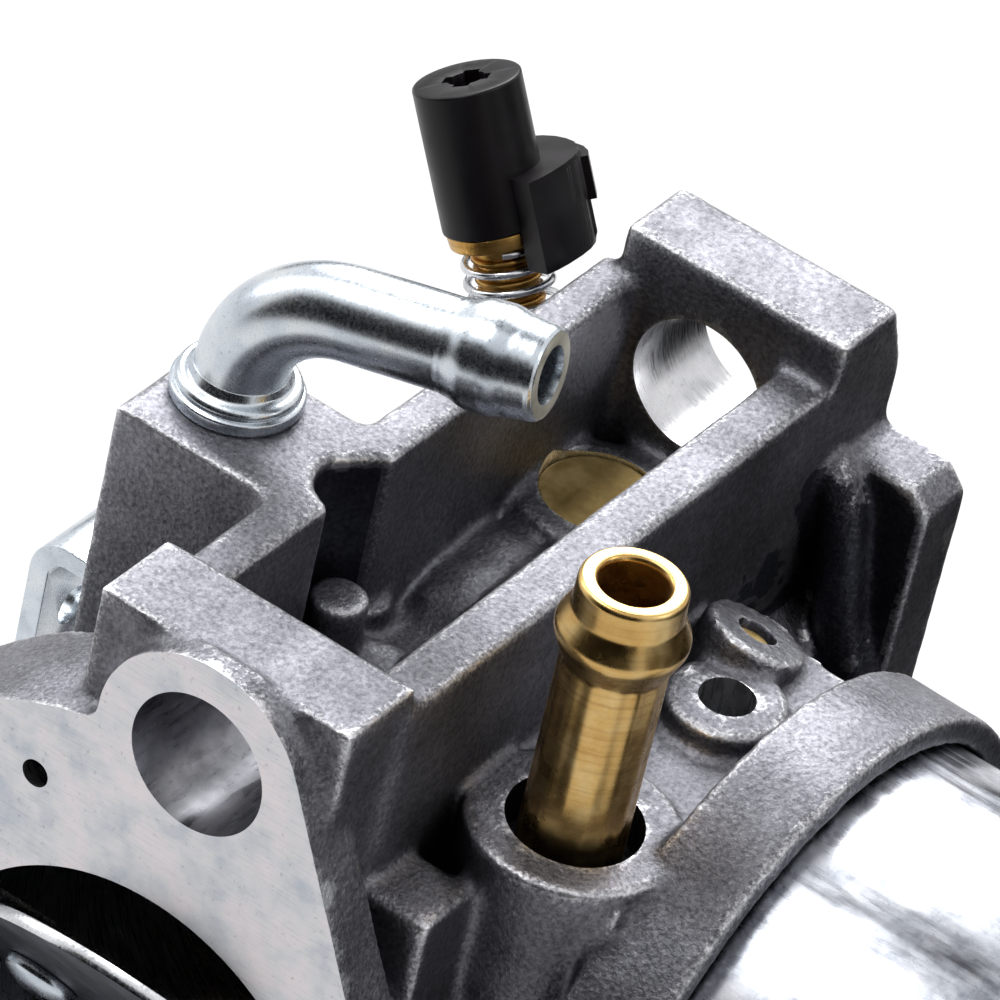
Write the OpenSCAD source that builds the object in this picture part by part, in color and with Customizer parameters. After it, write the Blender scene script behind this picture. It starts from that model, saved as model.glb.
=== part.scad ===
// Float-bowl carburetor for a small engine, lying on its side.
// X runs down the bore: the air filter flange is at -X and the engine flange ends at X = 0.
// Y points away from the float bowl, so the bowl hangs toward -Y. Z is up.
// The origin is the bore's centre on the engine flange's face.

/* [Bore] */
// Length of the casting, from the filter face to the engine face
body_len = 58; // [54:0.5:64]
// Bore at the air filter end, where the choke plate turns
filter_bore_d = 28.8; // [27:0.1:30]
// Bore at the engine end, where the throttle plate turns
engine_bore_d = 26.5; // [24:0.1:27.5]
// Narrowest bore, at the venturi
throat_d = 21; // [16:0.5:23]
// Outside of the barrel around the bore
barrel_d = 35; // [34:0.5:37]

/* [Stud holes] */
// Clearance hole for an M8 stud
stud_hole_d = 9; // [8.4:0.1:9.4]
// Distance between the two studs
stud_spacing = 50.7; // [49:0.1:53]
// Offset of both studs from the bore's centre, along Y
stud_y = -0.8; // [-1.5:0.1:0]

/* [Filter flange] */
// Radius of the ear around each stud
ear_r = 6.95; // [6.4:0.05:7.4]
// Radius of the air horn on the side away from the bowl
horn_r = 25; // [24.5:0.1:25.5]
// Radius of the flange on the bowl side
flange_r = 18.9; // [18.5:0.1:19.5]
// Thickness of the machined flange plate
flange_t = 4; // [3.5:0.1:5]
// Height of the block behind each ear, above the stud's centre
filter_block_rise = 6.05; // [5.65:0.1:6.65]

/* [Engine flange] */
// Thickness of the flange plate
engine_flange_t = 4.4; // [4:0.1:5]
// Half the height of the flange plate
engine_flange_h = 24; // [23:0.1:24.5]
// Reach of the flange toward the bowl
engine_flange_y = 16.1; // [15.5:0.1:16.8]
// Height of the block around each stud, above the stud's centre
engine_block_rise = 8.15; // [7.15:0.1:9.15]
// Thickness of that block
engine_block_t = 7.7; // [7:0.1:8.5]
// Recess around the bore that locates the insulator
register_d = 30.4; // [29:0.2:33]
// Depth of that recess
register_depth = 2; // [1.5:0.1:2.5]

/* [Rails] */
// Height of both rails between the flanges
rail_top = 30.2; // [29:0.1:30.8]
// Bowl-side face of the front rail
front_rail_y = -9.4; // [-9.6:0.1:-9]
// Thickness of the front rail
front_rail_t = 3.5; // [3:0.1:4]
// Pocket-side face of the rear rail
rear_rail_y = 4.7; // [4.3:0.1:5]
// Thickness of the rear rail
rear_rail_t = 3; // [2.6:0.1:3.4]

/* [Float chamber] */
// Distance of the chamber's axis from the engine face
chamber_back = 28; // [27:0.5:29]
// Outside of the cast skirt
skirt_d = 48; // [47:0.5:50]
// Outside of the pressed bowl
bowl_d = 44; // [42:0.5:44.5]
// Wall of the pressed bowl
bowl_wall = 1.2; // [1:0.1:1.6]
// Outside face of the bowl's bottom, from the bore's centre
bowl_bottom = 49; // [48:0.5:54]
// Height of the flat ground beside the rails
plateau_top = 19.4; // [19:0.1:19.8]

/* [Hose spigots] */
// Outside of the fuel inlet tube
fuel_tube_d = 5.7; // [5.2:0.1:6]
// Reach of the fuel inlet, from the bend's corner to its end
fuel_reach = 18.4; // [16:0.2:22]
// Outside of the brass vent tube
vent_tube_d = 6.8; // [6.2:0.1:7.2]
// Height of the vent tube's end
vent_top = 38.1; // [35:0.1:42]

/* [Throttle] */
// Distance of the throttle shaft from the engine face
throttle_back = 14; // [13.6:0.1:14.6]
// Diameter of the throttle shaft
throttle_shaft_d = 6; // [5:0.1:6.4]
// Thickness of the throttle plate
throttle_plate_t = 1.2; // [1:0.1:1.5]

/* [Choke] */
// Distance of the choke shaft from the filter face
choke_in = 5.2; // [4.8:0.1:5.6]
// Diameter of the choke shaft
choke_shaft_d = 5; // [4.4:0.1:5.4]
// Thickness of the choke plate
choke_plate_t = 0.85; // [0.7:0.05:1.1]
// How far the choke stands open from its closed position
choke_open = 37; // [20:1:45]
// Length of the choke lever
choke_lever_len = 14; // [12:0.5:15]

/* [Adjusting screws] */
// Tilt of the mixture screw away from Z
mixture_tilt = 28; // [24:1:32]
// Outside of the black limiter cap
cap_d = 6.8; // [6.4:0.1:7.2]
// Diameter of both adjusting screws
adjust_d = 4.1; // [3.8:0.1:4.3]

/* [Hidden] */
$fn = 64;

// A pocket or hole runs this far past the face it opens at
past = 1;
// A straight stretch of tube runs this far over its bend, and the bend is this much slimmer
lap = 0.3;
bend_thinner = 0.04;
// Clearance of a shaft or screw that turns in the casting
run_gap = 0.05;

cast_grey = "#9a9a9f";
bright_steel = "#d2d5d9";
zinc = "#c3cad2";
brass = "#b0914f";
black_plastic = "#1b1a1e";

filter_x = -body_len;
bore_r = engine_bore_d / 2;
horn_end = filter_x + 9;
stud_z = stud_spacing / 2;
filter_block_top = stud_z + filter_block_rise;
engine_block_top = stud_z + engine_block_rise;
block_back = filter_x + 8.2;
rail_start = block_back - past;
rail_end = -engine_block_t + past;
plug_pos = [-13.8, 0.8];

chamber_x = -chamber_back;
skirt_top = -20.8;
lid_y = -23.4;
skirt_end = -27;
skirt_wall = 1.8;
gasket_t = 1;
bowl_rim = lid_y - gasket_t;
column_r = 5.5;
column_end = -bowl_bottom + bowl_wall + 0.3;
bowl_screw_r = 3;
drain_screw_r = 2.5;

fuel_pos = [-35.2, 14.5];
fuel_corner_z = rail_top + 8.1;
fuel_turn = -80.1;
fuel_bend = 82;
fuel_bend_r = 7;
vent_pos = [-40.6, -15.85];
vent_boss_top = 20.5;

throttle_x = -throttle_back;
throttle_r = throttle_shaft_d / 2;
throttle_boss_end = 23.6;
lever_y = 26.4;
lever_t = 1.4;
stop_x = throttle_x + 7.4;
choke_x = filter_x + choke_in;
choke_r = choke_shaft_d / 2;
choke_boss_end = 25.9;

mixture_pos = [-7.8, 12.5, 24.1];
mixture_lean = 2;
mixture_boss_end = -2;
idle_pos = [-4.5, 23.8];
adjust_r = adjust_d / 2;
spring_clearance = 0.1;
mixture_wire_r = 0.27;
idle_wire_r = 0.35;
drain_x = chamber_x - 12;

float_pin_pos = [chamber_x + 16.5, -27.2];
float_pin_r = 1;
needle_x = chamber_x + 10.5;

// ---------- shapes that repeat ----------

// A cylinder along X, starting at x0
module rod_x(x0, len, r) {
    translate([x0, 0, 0]) rotate([0, 90, 0]) cylinder(r = r, h = len);
}

// A cylinder along Y, from y0 to y1, at the given x and z
module rod_y(x, z, y0, y1, r) {
    translate([x, y1, z]) rotate([90, 0, 0]) cylinder(r = r, h = y1 - y0);
}

// A box given by its two corners
module block(low, high) {
    translate(low) cube(high - low);
}

// A body of revolution around Y through (x, z); each point is [radius, y]
module turned_y(x, z, outline) {
    translate([x, 0, z]) rotate([-90, 0, 0]) rotate_extrude() polygon(outline);
}

// Draws its children at both studs
module both_studs() {
    children();
    mirror([0, 0, 1]) children();
}

// An outline in Y and Z, extruded along X from x0
module plate_x(x0, len) {
    translate([x0, 0, 0]) rotate([90, 0, 90]) linear_extrude(len) children();
}

// An outline in X and Z, extruded along Y from y0 to y1
module plate_y(y0, y1) {
    translate([0, y1, 0]) rotate([90, 0, 0]) linear_extrude(y1 - y0) children();
}

// A coil of round wire around Z; its radius runs from r0 at the bottom to r1 at the top
module coil(r0, r1, wire_r, height, turns) {
    sides = 10;
    steps = ceil(turns * 22);
    function mean_r(i) = r0 + (r1 - r0) * i / steps;
    function ring(i) = [for (k = [0:sides - 1])
        let (a = 360 * turns * i / steps, w = 360 * k / sides)
        [(mean_r(i) + wire_r * cos(w)) * cos(a), (mean_r(i) + wire_r * cos(w)) * sin(a),
            wire_r + (height - 2 * wire_r) * i / steps + wire_r * sin(w)]];
    points = [for (i = [0:steps]) each ring(i)];
    skin = [for (i = [0:steps - 1]) for (k = [0:sides - 1])
        let (n = (k + 1) % sides)
        [i * sides + k, (i + 1) * sides + k, (i + 1) * sides + n, i * sides + n]];
    first = [for (k = [0:sides - 1]) k];
    last = [for (k = [sides - 1:-1:0]) steps * sides + k];
    polyhedron(points, concat(skin, [first], [last]), convexity = 8);
}

// A hexagonal head around Y, given by its width across flats
module hex_y(x, z, y0, y1, flats) {
    translate([x, y1, z]) rotate([90, 0, 0]) cylinder(d = flats / cos(30), h = y1 - y0, $fn = 6);
}

// ---------- the casting ----------

// Straight side of the flange, tangent to an ear and to the flange's own radius
module flange_web() {
    ear = [stud_y, stud_z];
    turn = atan2(ear[1], ear[0]) + acos((flange_r - ear_r) / norm(ear));
    out = [cos(turn), sin(turn)];
    polygon([[0, 0], ear, ear + ear_r * out, flange_r * out]);
}

module flange_outline() {
    for (side = [0, 1]) mirror([0, side]) {
        translate([stud_y, stud_z]) circle(r = ear_r);
        flange_web();
        polygon([[0, 0], [0, stud_z], [stud_y + ear_r - 0.3, stud_z], [ear_r, stud_z - 4]]);
    }
    circle(r = flange_r);
    horn_outline();
}

// Half disc of the air horn, on the side away from the bowl
module horn_outline() {
    intersection() {
        circle(r = horn_r);
        translate([0, -horn_r - 1]) square([horn_r + 1, 2 * horn_r + 2]);
    }
}

module filter_block() {
    plate_y(-9, 8.5) polygon([[filter_x + 1.2, 10], [filter_x + 1.8, filter_block_top],
        [block_back, filter_block_top], [block_back + 0.4, 10]]);
}

module engine_block() {
    plate_y(-9.7, 6.4) polygon([[-engine_block_t - 0.3, 12], [-engine_block_t, engine_block_top],
        [-1.8, engine_block_top], [0, engine_block_top - 4], [0, 12]]);
}

module engine_flange() {
    low = -engine_flange_y;
    top = engine_flange_h;
    plate_x(-engine_flange_t, engine_flange_t)
        polygon([[low, -top + 3], [low + 3, -top], [8, -top], [15, -14], [15, 14], [8, 20],
            [0, top], [low + 1.5, top], [low, top - 1.5]]);
}

// Both rails, the fuel inlet's block and what stands in the pocket between them
module rails() {
    block([rail_start, front_rail_y, 8], [rail_end, front_rail_y + front_rail_t, rail_top]);
    block([rail_start, rear_rail_y, 4], [rail_end, rear_rail_y + rear_rail_t, rail_top]);
    block([-41.2, rear_rail_y + 1, 4], [-31.5, 18.7, rail_top]);
    translate([-13.8, plug_pos[1], 10]) cylinder(r = 5.4, h = 9.6);
    block([-19, plug_pos[1] - 4.8, 10], [-13, plug_pos[1] + 3, 19]);
    translate([-22, 2.2, 13.9]) sphere(r = 5.4);
    translate([-31.6, 5.9, 10]) cylinder(r = 2.3, h = 8.8);
    translate([-34.6, 2.6, 15.6]) rotate([0, 12, 0]) cube([10, 2.6, 4], center = true);
}

// The neck that joins the barrel to the float chamber, with the bosses on its flat top
module neck() {
    block([-44.8, skirt_top - past, -17], [-8.5, 0, plateau_top]);
    translate([vent_pos[0], vent_pos[1], 0]) cylinder(d = 12.8, h = vent_boss_top);
    translate([-25.4, -16.1, 10]) cylinder(d = 7.4, h = 10.7);
    translate([-19.2, -13.6, 16.6]) rotate([0, 38, 0]) cylinder(d = 8.6, h = 4.6);
    block([-52, -14, -6], [-46.8, -7, 18]);
    block([-44.8 - 3, -14, -15], [-44, -4, 6]);
    translate([0, -12.6, 0]) plate_y(0, 1.6)
        polygon([[-9.5, 0], [-9.5, 17], [-4, 22.5], [-4, 0]]);
}

module chamber_lid() {
    rod_y(chamber_x, 0, skirt_end, skirt_top, skirt_d / 2);
    rod_y(chamber_x, 0, column_end, lid_y + past, column_r);
}

module chamber_inside() {
    difference() {
        rod_y(chamber_x, 0, skirt_end - past, lid_y, skirt_d / 2 - skirt_wall);
        rod_y(chamber_x, 0, skirt_end - 2 * past, lid_y + past, column_r);
        rod_y(needle_x, 0, skirt_end - 2 * past, lid_y + past, 3.6);
        for (z = [-7, 5]) block([float_pin_pos[0] - 1.8, skirt_end - 2 * past, z],
            [float_pin_pos[0] + 1.8, lid_y + past, z + 2]);
    }
}

module chamber_fittings() {
    for (z = [-7, 5]) block([float_pin_pos[0] - 1.8, -29, z],
        [float_pin_pos[0] + 1.8, lid_y + past, z + 2]);
    rod_y(needle_x, 0, -25.4, lid_y + past, 3.6);
}

module shaft_bosses() {
    rod_y(throttle_x, 0, 10, throttle_boss_end, 5.5);
    rod_y(choke_x, 0, 15, choke_boss_end, 5);
    translate(mixture_pos) rotate([-mixture_tilt, mixture_lean, 0]) translate([0, 0, -12])
        cylinder(r = 4.2, h = 12 + mixture_boss_end);
    block([-8.3, 8, -12], [-0.7, 27.4, -6]);
}

// Everything that is bored or drilled out of the casting
module casting_cuts() {
    rotate([0, 90, 0]) rotate_extrude() polygon([[0, filter_x - past],
        [filter_bore_d / 2, filter_x - past], [filter_bore_d / 2, filter_x + 12],
        [throat_d / 2, filter_x + 23], [throat_d / 2, -26], [bore_r, -19],
        [bore_r, -register_depth], [register_d / 2, -register_depth], [register_d / 2, past],
        [0, past]]);
    both_studs() translate([0, stud_y, stud_z])
        rod_x(filter_x - past, body_len + 2 * past, stud_hole_d / 2);
    translate([-36.1, 4.2, 18.2]) cylinder(r = 3.1, h = 20);
    translate([0, 9.3, 18.1]) rod_x(filter_x - past, 9, 0.9);
    rod_y(throttle_x, 0, -18.4, 30, throttle_r + run_gap);
    rod_y(throttle_x, 0, throttle_boss_end - 2, 30, 4.6);
    rod_y(choke_x, 0, -17.2, 30, choke_r + run_gap);
    rod_y(choke_x, 0, choke_boss_end - 1.6, 30, 3.9);
    translate(mixture_pos) rotate([-mixture_tilt, mixture_lean, 0]) {
        translate([0, 0, -9]) cylinder(r = adjust_r + run_gap, h = 20);
        translate([0, 0, -15]) cylinder(r = 1.1, h = 10);
    }
    translate([idle_pos[0], idle_pos[1], -20]) cylinder(r = adjust_r + run_gap, h = 20);
    translate([fuel_pos[0], fuel_pos[1], rail_top - 7]) cylinder(d = fuel_tube_d, h = 20);
    translate([fuel_pos[0], fuel_pos[1], 6]) cylinder(d = 3.2, h = 20);
    translate([vent_pos[0], vent_pos[1], vent_boss_top - 3]) cylinder(d = 8.9, h = 20);
    translate([vent_pos[0], vent_pos[1], vent_boss_top - 8]) cylinder(d = vent_tube_d, h = 20);
    translate([-25.4, -16.1, 12]) cylinder(d = 3.5, h = 20);
    translate([-19.2, -13.6, 16.6]) rotate([0, 38, 0]) cylinder(d = 4.2, h = 20);
    translate([plug_pos[0], plug_pos[1], 18.4]) cylinder(d = 7.6, h = 20);
    rod_y(chamber_x, 0, column_end - past, 0, 2.2);
    rod_y(chamber_x, 0, column_end - past, -43.8, bowl_screw_r + run_gap);
    rod_y(needle_x, 0, -30, -17, 2.5);
    rod_y(chamber_x - 6, 11, -30, -20, 1.5);
    translate([float_pin_pos[0], float_pin_pos[1], -9]) cylinder(r = float_pin_r, h = 18);
}

module body() color(cast_grey) difference() {
    union() {
        rod_x(filter_x + past, body_len - 2 * past, barrel_d / 2);
        plate_x(filter_x, flange_t) flange_outline();
        plate_x(filter_x + 1, horn_end - filter_x - 1) horn_outline();
        both_studs() filter_block();
        both_studs() engine_block();
        engine_flange();
        rails();
        neck();
        difference() {
            chamber_lid();
            chamber_inside();
        }
        chamber_fittings();
        shaft_bosses();
    }
    casting_cuts();
}

// ---------- float chamber ----------

module float_bowl() color(bright_steel) difference() {
    r = bowl_d / 2;
    union() {
        turned_y(chamber_x, 0, [[0, bowl_rim], [0, -bowl_bottom], [r - 5, -bowl_bottom],
            [r - 2.4, -bowl_bottom + 0.7], [r - 0.7, -bowl_bottom + 2.4], [r, -bowl_bottom + 5],
            [r, bowl_rim]]);
        rod_y(drain_x, 0, -bowl_bottom - 1.5, -bowl_bottom + 1, 4.6);
    }
    turned_y(chamber_x, 0, [[0, bowl_rim + past], [0, -bowl_bottom + bowl_wall],
        [r - 5.4, -bowl_bottom + bowl_wall], [r - 3, -bowl_bottom + bowl_wall + 0.8],
        [r - bowl_wall - 0.6, -bowl_bottom + bowl_wall + 2.8],
        [r - bowl_wall, -bowl_bottom + bowl_wall + 5], [r - bowl_wall, bowl_rim + past]]);
    rod_y(chamber_x, 0, -bowl_bottom - past, -bowl_bottom + 5, bowl_screw_r + 0.1);
    rod_y(drain_x, 0, -bowl_bottom - 5, -bowl_bottom + 5, drain_screw_r + run_gap);
}

module bowl_gasket() color("#2b2a2c") difference() {
    rod_y(chamber_x, 0, bowl_rim, lid_y, bowl_d / 2);
    rod_y(chamber_x, 0, bowl_rim - past, lid_y + past, bowl_d / 2 - 1.8);
}

module bowl_screw() color(zinc) {
    hex_y(chamber_x, 0, -bowl_bottom - 5.2, -bowl_bottom - 1, 10);
    rod_y(chamber_x, 0, -bowl_bottom - 1.5, -44.4, bowl_screw_r);
}

module bowl_screw_washer() color("#a8572f") difference() {
    rod_y(chamber_x, 0, -bowl_bottom - 1, -bowl_bottom, 6.2);
    rod_y(chamber_x, 0, -bowl_bottom - 2, -bowl_bottom + past, bowl_screw_r + 0.1);
}

module drain_screw() color(zinc) {
    hex_y(drain_x, 0, -bowl_bottom - 5.5, -bowl_bottom - 2.3, 8);
    rod_y(drain_x, 0, -bowl_bottom - 3, -bowl_bottom + 0.8, drain_screw_r);
}

module drain_washer() color("#a8572f") difference() {
    rod_y(drain_x, 0, -bowl_bottom - 2.3, -bowl_bottom - 1.5, 4.4);
    rod_y(drain_x, 0, -bowl_bottom - 3, -bowl_bottom, drain_screw_r + 0.1);
}

module float() color("#3a3733") difference() {
    union() {
        rod_y(chamber_x, 0, -41, -30, 16.6);
        block([chamber_x + 7, -31, -4], [float_pin_pos[0], -28.6, 4]);
        translate([float_pin_pos[0], float_pin_pos[1], -4.6]) cylinder(r = 2, h = 9.2);
    }
    rod_y(chamber_x, 0, -42, -25, 8.2);
    translate([float_pin_pos[0], float_pin_pos[1], -5]) cylinder(r = float_pin_r + 0.05, h = 10);
}

module float_pin() color(bright_steel)
    translate([float_pin_pos[0], float_pin_pos[1], -8]) cylinder(r = float_pin_r, h = 16);

module float_needle() color("#4a4a50")
    turned_y(needle_x, 0, [[0, -28.3], [1.5, -28.3], [1.5, -23], [0.4, -21.2], [0, -21.2]]);

module needle_seat() color(brass) difference() {
    rod_y(needle_x, 0, -26, -18, 2.5);
    rod_y(needle_x, 0, -27, -21.8, 1.56);
    rod_y(needle_x, 0, -24, -17, 0.9);
}

module main_nozzle() color(brass) difference() {
    rod_y(chamber_x, 0, -40.4, -8.6, 2.2);
    rod_y(chamber_x, 0, -42, -7, 1.2);
    for (y = [-38:4:-26]) translate([chamber_x - 3, y, 0]) rotate([0, 90, 0]) cylinder(r = 0.4, h = 6);
}

module main_jet() color(brass) difference() {
    rod_y(chamber_x, 0, -43.6, -40.4, 2.2);
    rod_y(chamber_x, 0, -45, -39, 0.55);
    block([chamber_x - 3, -44.6, -0.35], [chamber_x + 3, -42.9, 0.35]);
}

module pilot_jet() color(brass) difference() {
    rod_y(chamber_x - 6, 11, -26.4, -20.4, 1.5);
    rod_y(chamber_x - 6, 11, -28, -19, 0.4);
}

module air_jet() color(brass)
    translate([-19.2, -13.6, 16.6]) rotate([0, 38, 0]) difference() {
        cylinder(d = 4.2, h = 3.4);
        translate([0, 0, -1]) cylinder(r = 0.6, h = 6);
        translate([-3, -0.3, 2.6]) cube([6, 0.6, 2]);
    }

// ---------- throttle ----------

// A round shaft with a flat for its plate; the lever's seat is a smaller round at the +Y end
module plate_shaft(x, r, y0, y1, bore, plate_t, seat_r, seat_end) {
    difference() {
        union() {
            rod_y(x, 0, y0, y1, r);
            rod_y(x, 0, y1 - past, seat_end, seat_r);
        }
        block([x - plate_t / 2, -bore, -r - past], [x + r + past, bore, r + past]);
    }
}

// Two pan head screws that hold a plate on the flat of its shaft
module plate_screws(x, plate_t, reach, spread) {
    for (y = [-spread, spread]) translate([x, y, 0]) {
        rod_x(plate_t / 2, 1.3, 2.4);
        rod_x(-reach, reach + plate_t / 2, 1.25);
    }
}

// A disc that closes the bore, drilled for its two screws
module bore_plate(x, plate_t, r, spread) {
    difference() {
        rod_x(x - plate_t / 2, plate_t, r);
        for (y = [-spread, spread]) translate([x, y, 0]) rod_x(-3, 6, 1.25);
    }
}

module throttle_shaft() color(zinc) difference() {
    plate_shaft(throttle_x, throttle_r, -18, lever_y, bore_r + 0.3, throttle_plate_t, 2.2, 32);
    for (y = [-5, 5]) translate([throttle_x, y, 0]) rod_x(-6, 12, 1.25);
}

module throttle_plate() color("#b9a468")
    bore_plate(throttle_x, throttle_plate_t, bore_r - 0.25, 5);

module throttle_plate_screws() color(zinc)
    plate_screws(throttle_x, throttle_plate_t, throttle_r - 0.3, 5);

module throttle_lever() color(zinc) difference() {
    bend_r = 2.6;
    arm_end = throttle_x - 18.3;
    arm_top = 10;
    union() {
        plate_y(lever_y, lever_y + lever_t) {
            translate([throttle_x, 0]) circle(r = 6.2);
            polygon([[throttle_x, 6.2], [throttle_x - 9, arm_top - bend_r],
                [arm_end, arm_top - bend_r], [arm_end, -3.5], [arm_end + 4, -7],
                [throttle_x, -6.2]]);
            polygon([[throttle_x, 5.5], [stop_x, 4.3], [stop_x, 0], [throttle_x, 0]]);
        }
        translate([arm_end, lever_y + lever_t - bend_r, arm_top - bend_r])
            plate_x(0, 9.3) difference() {
                intersection() {
                    circle(r = bend_r);
                    square(bend_r);
                }
                circle(r = bend_r - lever_t);
            }
        block([arm_end, 20.6, arm_top - lever_t],
            [arm_end + 9.3, lever_y + lever_t - bend_r, arm_top]);
    }
    rod_y(throttle_x, 0, 20, 40, 2.2);
    rod_y(arm_end + 3.6, 3, 25, 40, 1.3);
    rod_y(arm_end + 8, -1.5, 25, 40, 1);
}

// The lug welded to the lever's rim; its tab meets the idle screw with the throttle closed
module throttle_stop() color(zinc) {
    lug = 4;
    plate_y(lever_y, lever_y + lever_t)
        polygon([[stop_x, 0], [stop_x, 4.3], [stop_x + lug, 3.6], [stop_x + lug, 0]]);
    block([stop_x, idle_pos[1] - 2.4, 0], [stop_x + lug, lever_y + 0.2, lever_t]);
}

module throttle_washer() color(bright_steel) difference() {
    rod_y(throttle_x, 0, lever_y + lever_t, lever_y + lever_t + 0.8, 4.6);
    rod_y(throttle_x, 0, 20, 40, 2.25);
}

module throttle_nut() color(zinc) difference() {
    hex_y(throttle_x, 0, lever_y + lever_t + 0.8, lever_y + lever_t + 3.4, 7);
    rod_y(throttle_x, 0, 20, 40, 2.2);
}

// A ring seal in the mouth of a shaft boss
module shaft_seal(x, y0, y1, inner_r, outer_r) {
    difference() {
        rod_y(x, 0, y0, y1, outer_r);
        rod_y(x, 0, y0 - past, y1 + past, inner_r);
    }
}

module throttle_seal() color(black_plastic)
    shaft_seal(throttle_x, throttle_boss_end - 2, throttle_boss_end, throttle_r + run_gap, 4.6);

module throttle_spring() color(bright_steel)
    translate([throttle_x, 19.8, 0]) rotate([-90, 0, 0]) coil(6.4, 6.4, 0.45, 6.2, 4.25);

// ---------- choke ----------

// Turns its children, drawn with the choke closed, to where the choke stands
module choke_turned() {
    translate([choke_x, 0, 0]) rotate([0, -choke_open, 0]) children();
}

module choke_shaft() color(zinc) choke_turned() mirror([1, 0, 0]) difference() {
    plate_shaft(0, choke_r, -16.8, lever_y, filter_bore_d / 2 + 0.3, choke_plate_t, 1.8, 28.6);
    for (y = [-9, 9]) translate([0, y, 0]) rod_x(-6, 12, 1.25);
}

module choke_plate() color("#6d7177") choke_turned()
    bore_plate(0, choke_plate_t, filter_bore_d / 2 - 0.3, 9);

module choke_plate_screws() color(zinc) choke_turned() mirror([1, 0, 0])
    plate_screws(0, choke_plate_t, choke_r - 0.3, 9);

module choke_lever() color(zinc) difference() {
    union() {
        plate_y(lever_y, lever_y + 1.2) translate([choke_x, 0]) {
            circle(r = 5.6);
            polygon([[-5.6, 0], [5.6, 0], [3.4, -choke_lever_len + 3.4],
                [-3.4, -choke_lever_len + 3.4]]);
            translate([0, -choke_lever_len + 3.4]) circle(r = 3.4);
        }
        rod_y(choke_x, 0, lever_y + 1, 28, 3);
    }
    rod_y(choke_x, 0, 20, 40, 1.8);
    rod_y(choke_x, -choke_lever_len + 3.4, 20, 40, 1.5);
}

module choke_seal() color(black_plastic)
    shaft_seal(choke_x, choke_boss_end - 1.6, choke_boss_end, choke_r + run_gap, 3.9);

// ---------- adjusting screws ----------

// Draws its children along the mixture screw, with Z out of its boss
module along_mixture() {
    translate(mixture_pos) rotate([-mixture_tilt, mixture_lean, 0]) children();
}

module mixture_screw() color(brass) along_mixture() rotate_extrude()
    polygon([[0, -12.4], [0.3, -12.4], [0.95, -9], [adjust_r, -8], [adjust_r, 3.8],
        [adjust_r + 1.05, 3.8], [adjust_r + 1.05, 4.6], [2.4, 4.6], [2.4, 11], [0, 11]]);

module mixture_spring() color(bright_steel) along_mixture() {
    top_r = adjust_r + spring_clearance + mixture_wire_r;
    translate([0, 0, mixture_boss_end + 0.05]) coil(top_r + 0.33, top_r, mixture_wire_r, 5.6, 3.6);
}

module limiter_cap() color(black_plastic) along_mixture() difference() {
    tab_turn = -45;
    union() {
        translate([0, 0, 4.6]) cylinder(d = cap_d, h = 9.8);
        rotate([0, 0, tab_turn]) difference() {
            translate([0, 0, 0.9]) union() {
                translate([0, -2, 0]) cube([4.2, 4, 8.1]);
                translate([4.2, 0, 0]) cylinder(r = 2, h = 8.1);
                translate([4.4, 1.4, 4.2]) cube([1.4, 1, 2.4]);
            }
            cylinder(r = adjust_r + 1.3, h = 4.6);
        }
    }
    cylinder(r = 2.4, h = 11);
    for (turn = [0, 60, 120]) rotate([0, 0, turn]) translate([-2, -0.45, 12.8]) cube([4, 0.9, 3]);
    translate([0, 0, 12.8]) cylinder(r = 1.1, h = 3);
}

module idle_screw() color(zinc) translate([idle_pos[0], idle_pos[1], 0]) difference() {
    rotate_extrude() polygon([[0, -20.6], [3.3, -20.6], [3.5, -20.4], [3.5, -17.8], [3.3, -17.6],
        [adjust_r, -17.6], [adjust_r, -0.5], [adjust_r - 0.4, -0.1], [0, -0.1]]);
    translate([-4, -0.45, -21]) cube([8, 0.9, 1.6]);
}

module idle_spring() color(bright_steel) {
    mean_r = adjust_r + 3 * spring_clearance + idle_wire_r;
    translate([idle_pos[0], idle_pos[1], -17.55]) coil(mean_r, mean_r, idle_wire_r, 5.5, 4.5);
}

// ---------- tubes and plug ----------

// A tube's path for the fuel inlet: straight out of the casting, a bend, then the spigot's outline
module fuel_path(r, spigot) {
    tangent = fuel_bend_r * tan(fuel_bend / 2);
    bend_z = fuel_corner_z - tangent;
    translate([0, 0, rail_top - 7]) cylinder(r = r, h = bend_z - rail_top + 7 + lap);
    translate([fuel_bend_r, 0, bend_z]) rotate([90, 0, 0]) rotate([0, 0, 180 - fuel_bend])
        rotate_extrude(angle = fuel_bend) translate([fuel_bend_r, 0]) circle(r = r - bend_thinner);
    translate([0, 0, fuel_corner_z]) rotate([0, fuel_bend, 0]) translate([0, 0, tangent])
        rotate_extrude() polygon(spigot);
}

// The fuel inlet: a bent steel tube with a collar at the casting and a hose bead at its end
module fuel_elbow() color(zinc) translate([fuel_pos[0], fuel_pos[1], 0]) rotate([0, 0, fuel_turn]) {
    r = fuel_tube_d / 2;
    hole_r = 1.7;
    len = fuel_reach - fuel_bend_r * tan(fuel_bend / 2);
    difference() {
        union() {
            fuel_path(r, [[0, -lap], [r, -lap], [r, len - 5.6], [r + 0.55, len - 4.4],
                [r + 0.55, len - 2.6], [r, len - 0.9], [r - 0.1, len - 0.3], [r - 0.45, len],
                [0, len]]);
            translate([0, 0, rail_top]) rotate_extrude() polygon([[0, 0], [4.05, 0], [4.05, 1],
                [3.6, 1.5], [r, 1.9], [0, 1.9]]);
        }
        fuel_path(hole_r, [[0, -lap], [hole_r, -lap], [hole_r, len - 0.4],
            [hole_r + 0.3, len], [hole_r + 0.3, len + past], [0, len + past]]);
        translate([0, 0, rail_top - 8]) cylinder(r = hole_r, h = 2);
    }
}

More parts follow.
